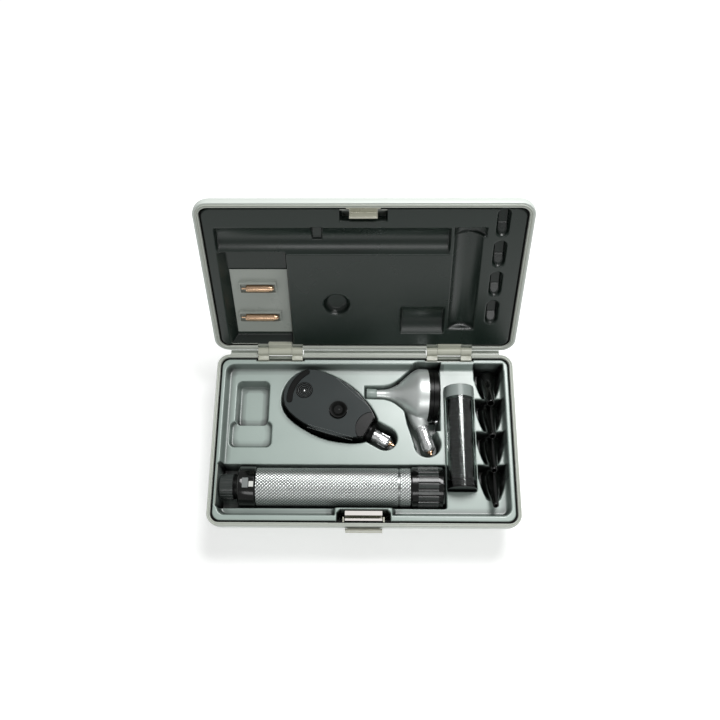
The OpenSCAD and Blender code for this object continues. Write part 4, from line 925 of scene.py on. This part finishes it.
def dot_rows():
    """Two rows of dots along either side of the face."""
    reach, last, apart, lean = 17, 30, 1.15, 13
    dots = []
    for side in (-1, 1):
        a = math.radians(-side * lean)
        for k in range(last + 1):
            d = -reach + 2 * reach * k / last
            for e in (-apart, apart):
                u = 3.5 + d * math.cos(a) - e * math.sin(a)
                v = side * 18.1 + d * math.sin(a) + e * math.cos(a)
                dots.append(on_face(u, v, -0.05))
    return dots


for k, (r, above) in enumerate(EYE_RINGS):
    eyepiece_line("eyepiece_line_%d" % k, r, above)
beads("face_dots", dot_rows(), DOT_R, FACE_LINE, "oph_face")
beads("sight_glass", [on_face(*EYE_AT, -1.6)], 1.3, CHROME, "oph_face")
beads("dial_glass", [on_face(*DIAL_ON_FACE, -0.9)], 1.5, CHROME, "aperture_dial")


# Camera, light and floor

# Fitted to the corners of the two rims in the photograph
CAMERA_AT = Vector((7.6, -171.7, 632.2)) * MM
YAW, PITCH, ROLL = math.radians(2.7415), math.radians(68.5), math.radians(-2.4132)
FOCAL_PX, FRAME_PX, SENSOR = 831.64, 720, 36

# Strength of the sky's light on the case, and of the floor's glow where it is seen as background
SKY_LIGHT, FLOOR_GLOW = 0.34, 0.35
FLOOR_REACH = 4.0  # metres


def camera():
    side = Vector((math.cos(YAW), math.sin(YAW), 0))
    ahead = Matrix.Rotation(YAW, 3, "Z") @ Vector((0, math.cos(PITCH), -math.sin(PITCH)))
    over = side.cross(ahead)
    right = side * math.cos(ROLL) + over * math.sin(ROLL)
    up = -side * math.sin(ROLL) + over * math.cos(ROLL)
    data = bpy.data.cameras.new("camera")
    data.sensor_width = SENSOR
    data.lens = SENSOR * FOCAL_PX / FRAME_PX
    obj = link(bpy.data.objects.new("camera", data))
    obj.matrix_world = Matrix.Translation(CAMERA_AT) @ Matrix((right, up, -ahead)).transposed().to_4x4()
    bpy.context.scene.camera = obj


def area(name, at, towards, size, power):
    """Soft rectangular lamp. Its places and size are in metres, its power in watts."""
    data = bpy.data.lights.new(name, "AREA")
    data.shape = "RECTANGLE"
    data.size, data.size_y = size
    data.energy = power
    lamp = link(bpy.data.objects.new(name, data))
    lamp.location = at
    lamp.rotation_mode = "QUATERNION"
    lamp.rotation_quaternion = (Vector(towards) - Vector(at)).to_track_quat("-Z", "Y")


def sky():
    """White where the camera sees it, and dimmer as a light."""
    world = bpy.data.worlds.new("world")
    bpy.context.scene.world = world
    world.use_nodes = True
    tree = world.node_tree
    back = tree.nodes["Background"]
    path = tree.nodes.new("ShaderNodeLightPath")
    level = tree.nodes.new("ShaderNodeMapRange")
    level.inputs["To Min"].default_value = SKY_LIGHT
    level.inputs["To Max"].default_value = 1.0
    tree.links.new(path.outputs["Is Camera Ray"], level.inputs["Value"])
    tree.links.new(level.outputs["Result"], back.inputs["Strength"])
    back.inputs["Color"].default_value = (1, 1, 1, 1)


def floor_material():
    """Pale floor that takes shadows and glows up to white, also in mirrors and through glass."""
    look = material("floor", "f7f8f7", 0.8, vary=0.005, patch=0.5, gloss=0.1)
    tree = look.node_tree
    shader = tree.nodes["Principled BSDF"]
    shader.inputs["Emission Color"].default_value = (1, 1, 1, 1)
    path = tree.nodes.new("ShaderNodeLightPath")
    seen_by = path.outputs["Is Camera Ray"]
    for kind in ("Is Glossy Ray", "Is Transmission Ray"):
        either = tree.nodes.new("ShaderNodeMath")
        either.operation = "MAXIMUM"
        tree.links.new(seen_by, either.inputs[0])
        tree.links.new(path.outputs[kind], either.inputs[1])
        seen_by = either.outputs[0]
    glow = tree.nodes.new("ShaderNodeMath")
    glow.operation = "MULTIPLY"
    glow.inputs[1].default_value = FLOOR_GLOW
    tree.links.new(seen_by, glow.inputs[0])
    tree.links.new(glow.outputs[0], shader.inputs["Emission Strength"])
    return look


def ground():
    mesh = bpy.data.meshes.new("floor")
    corners = [(sx * FLOOR_REACH, sy * FLOOR_REACH, 0) for sx, sy in ((-1, -1), (1, -1), (1, 1), (-1, 1))]
    mesh.from_pydata(corners, [], [(0, 1, 2, 3)])
    mesh.materials.append(floor_material())
    return link(bpy.data.objects.new("floor", mesh))


camera()
area("key_light", (0.17, 0.34, 0.74), (0.02, 0, 0.03), (0.40, 0.30), 4.8)
area("front_light", (0.05, -0.62, 0.62), (0, 0, 0.05), (0.7, 0.2), 1.5)
sky()
floor = ground()

bpy.context.scene.view_settings.view_transform = "Standard"
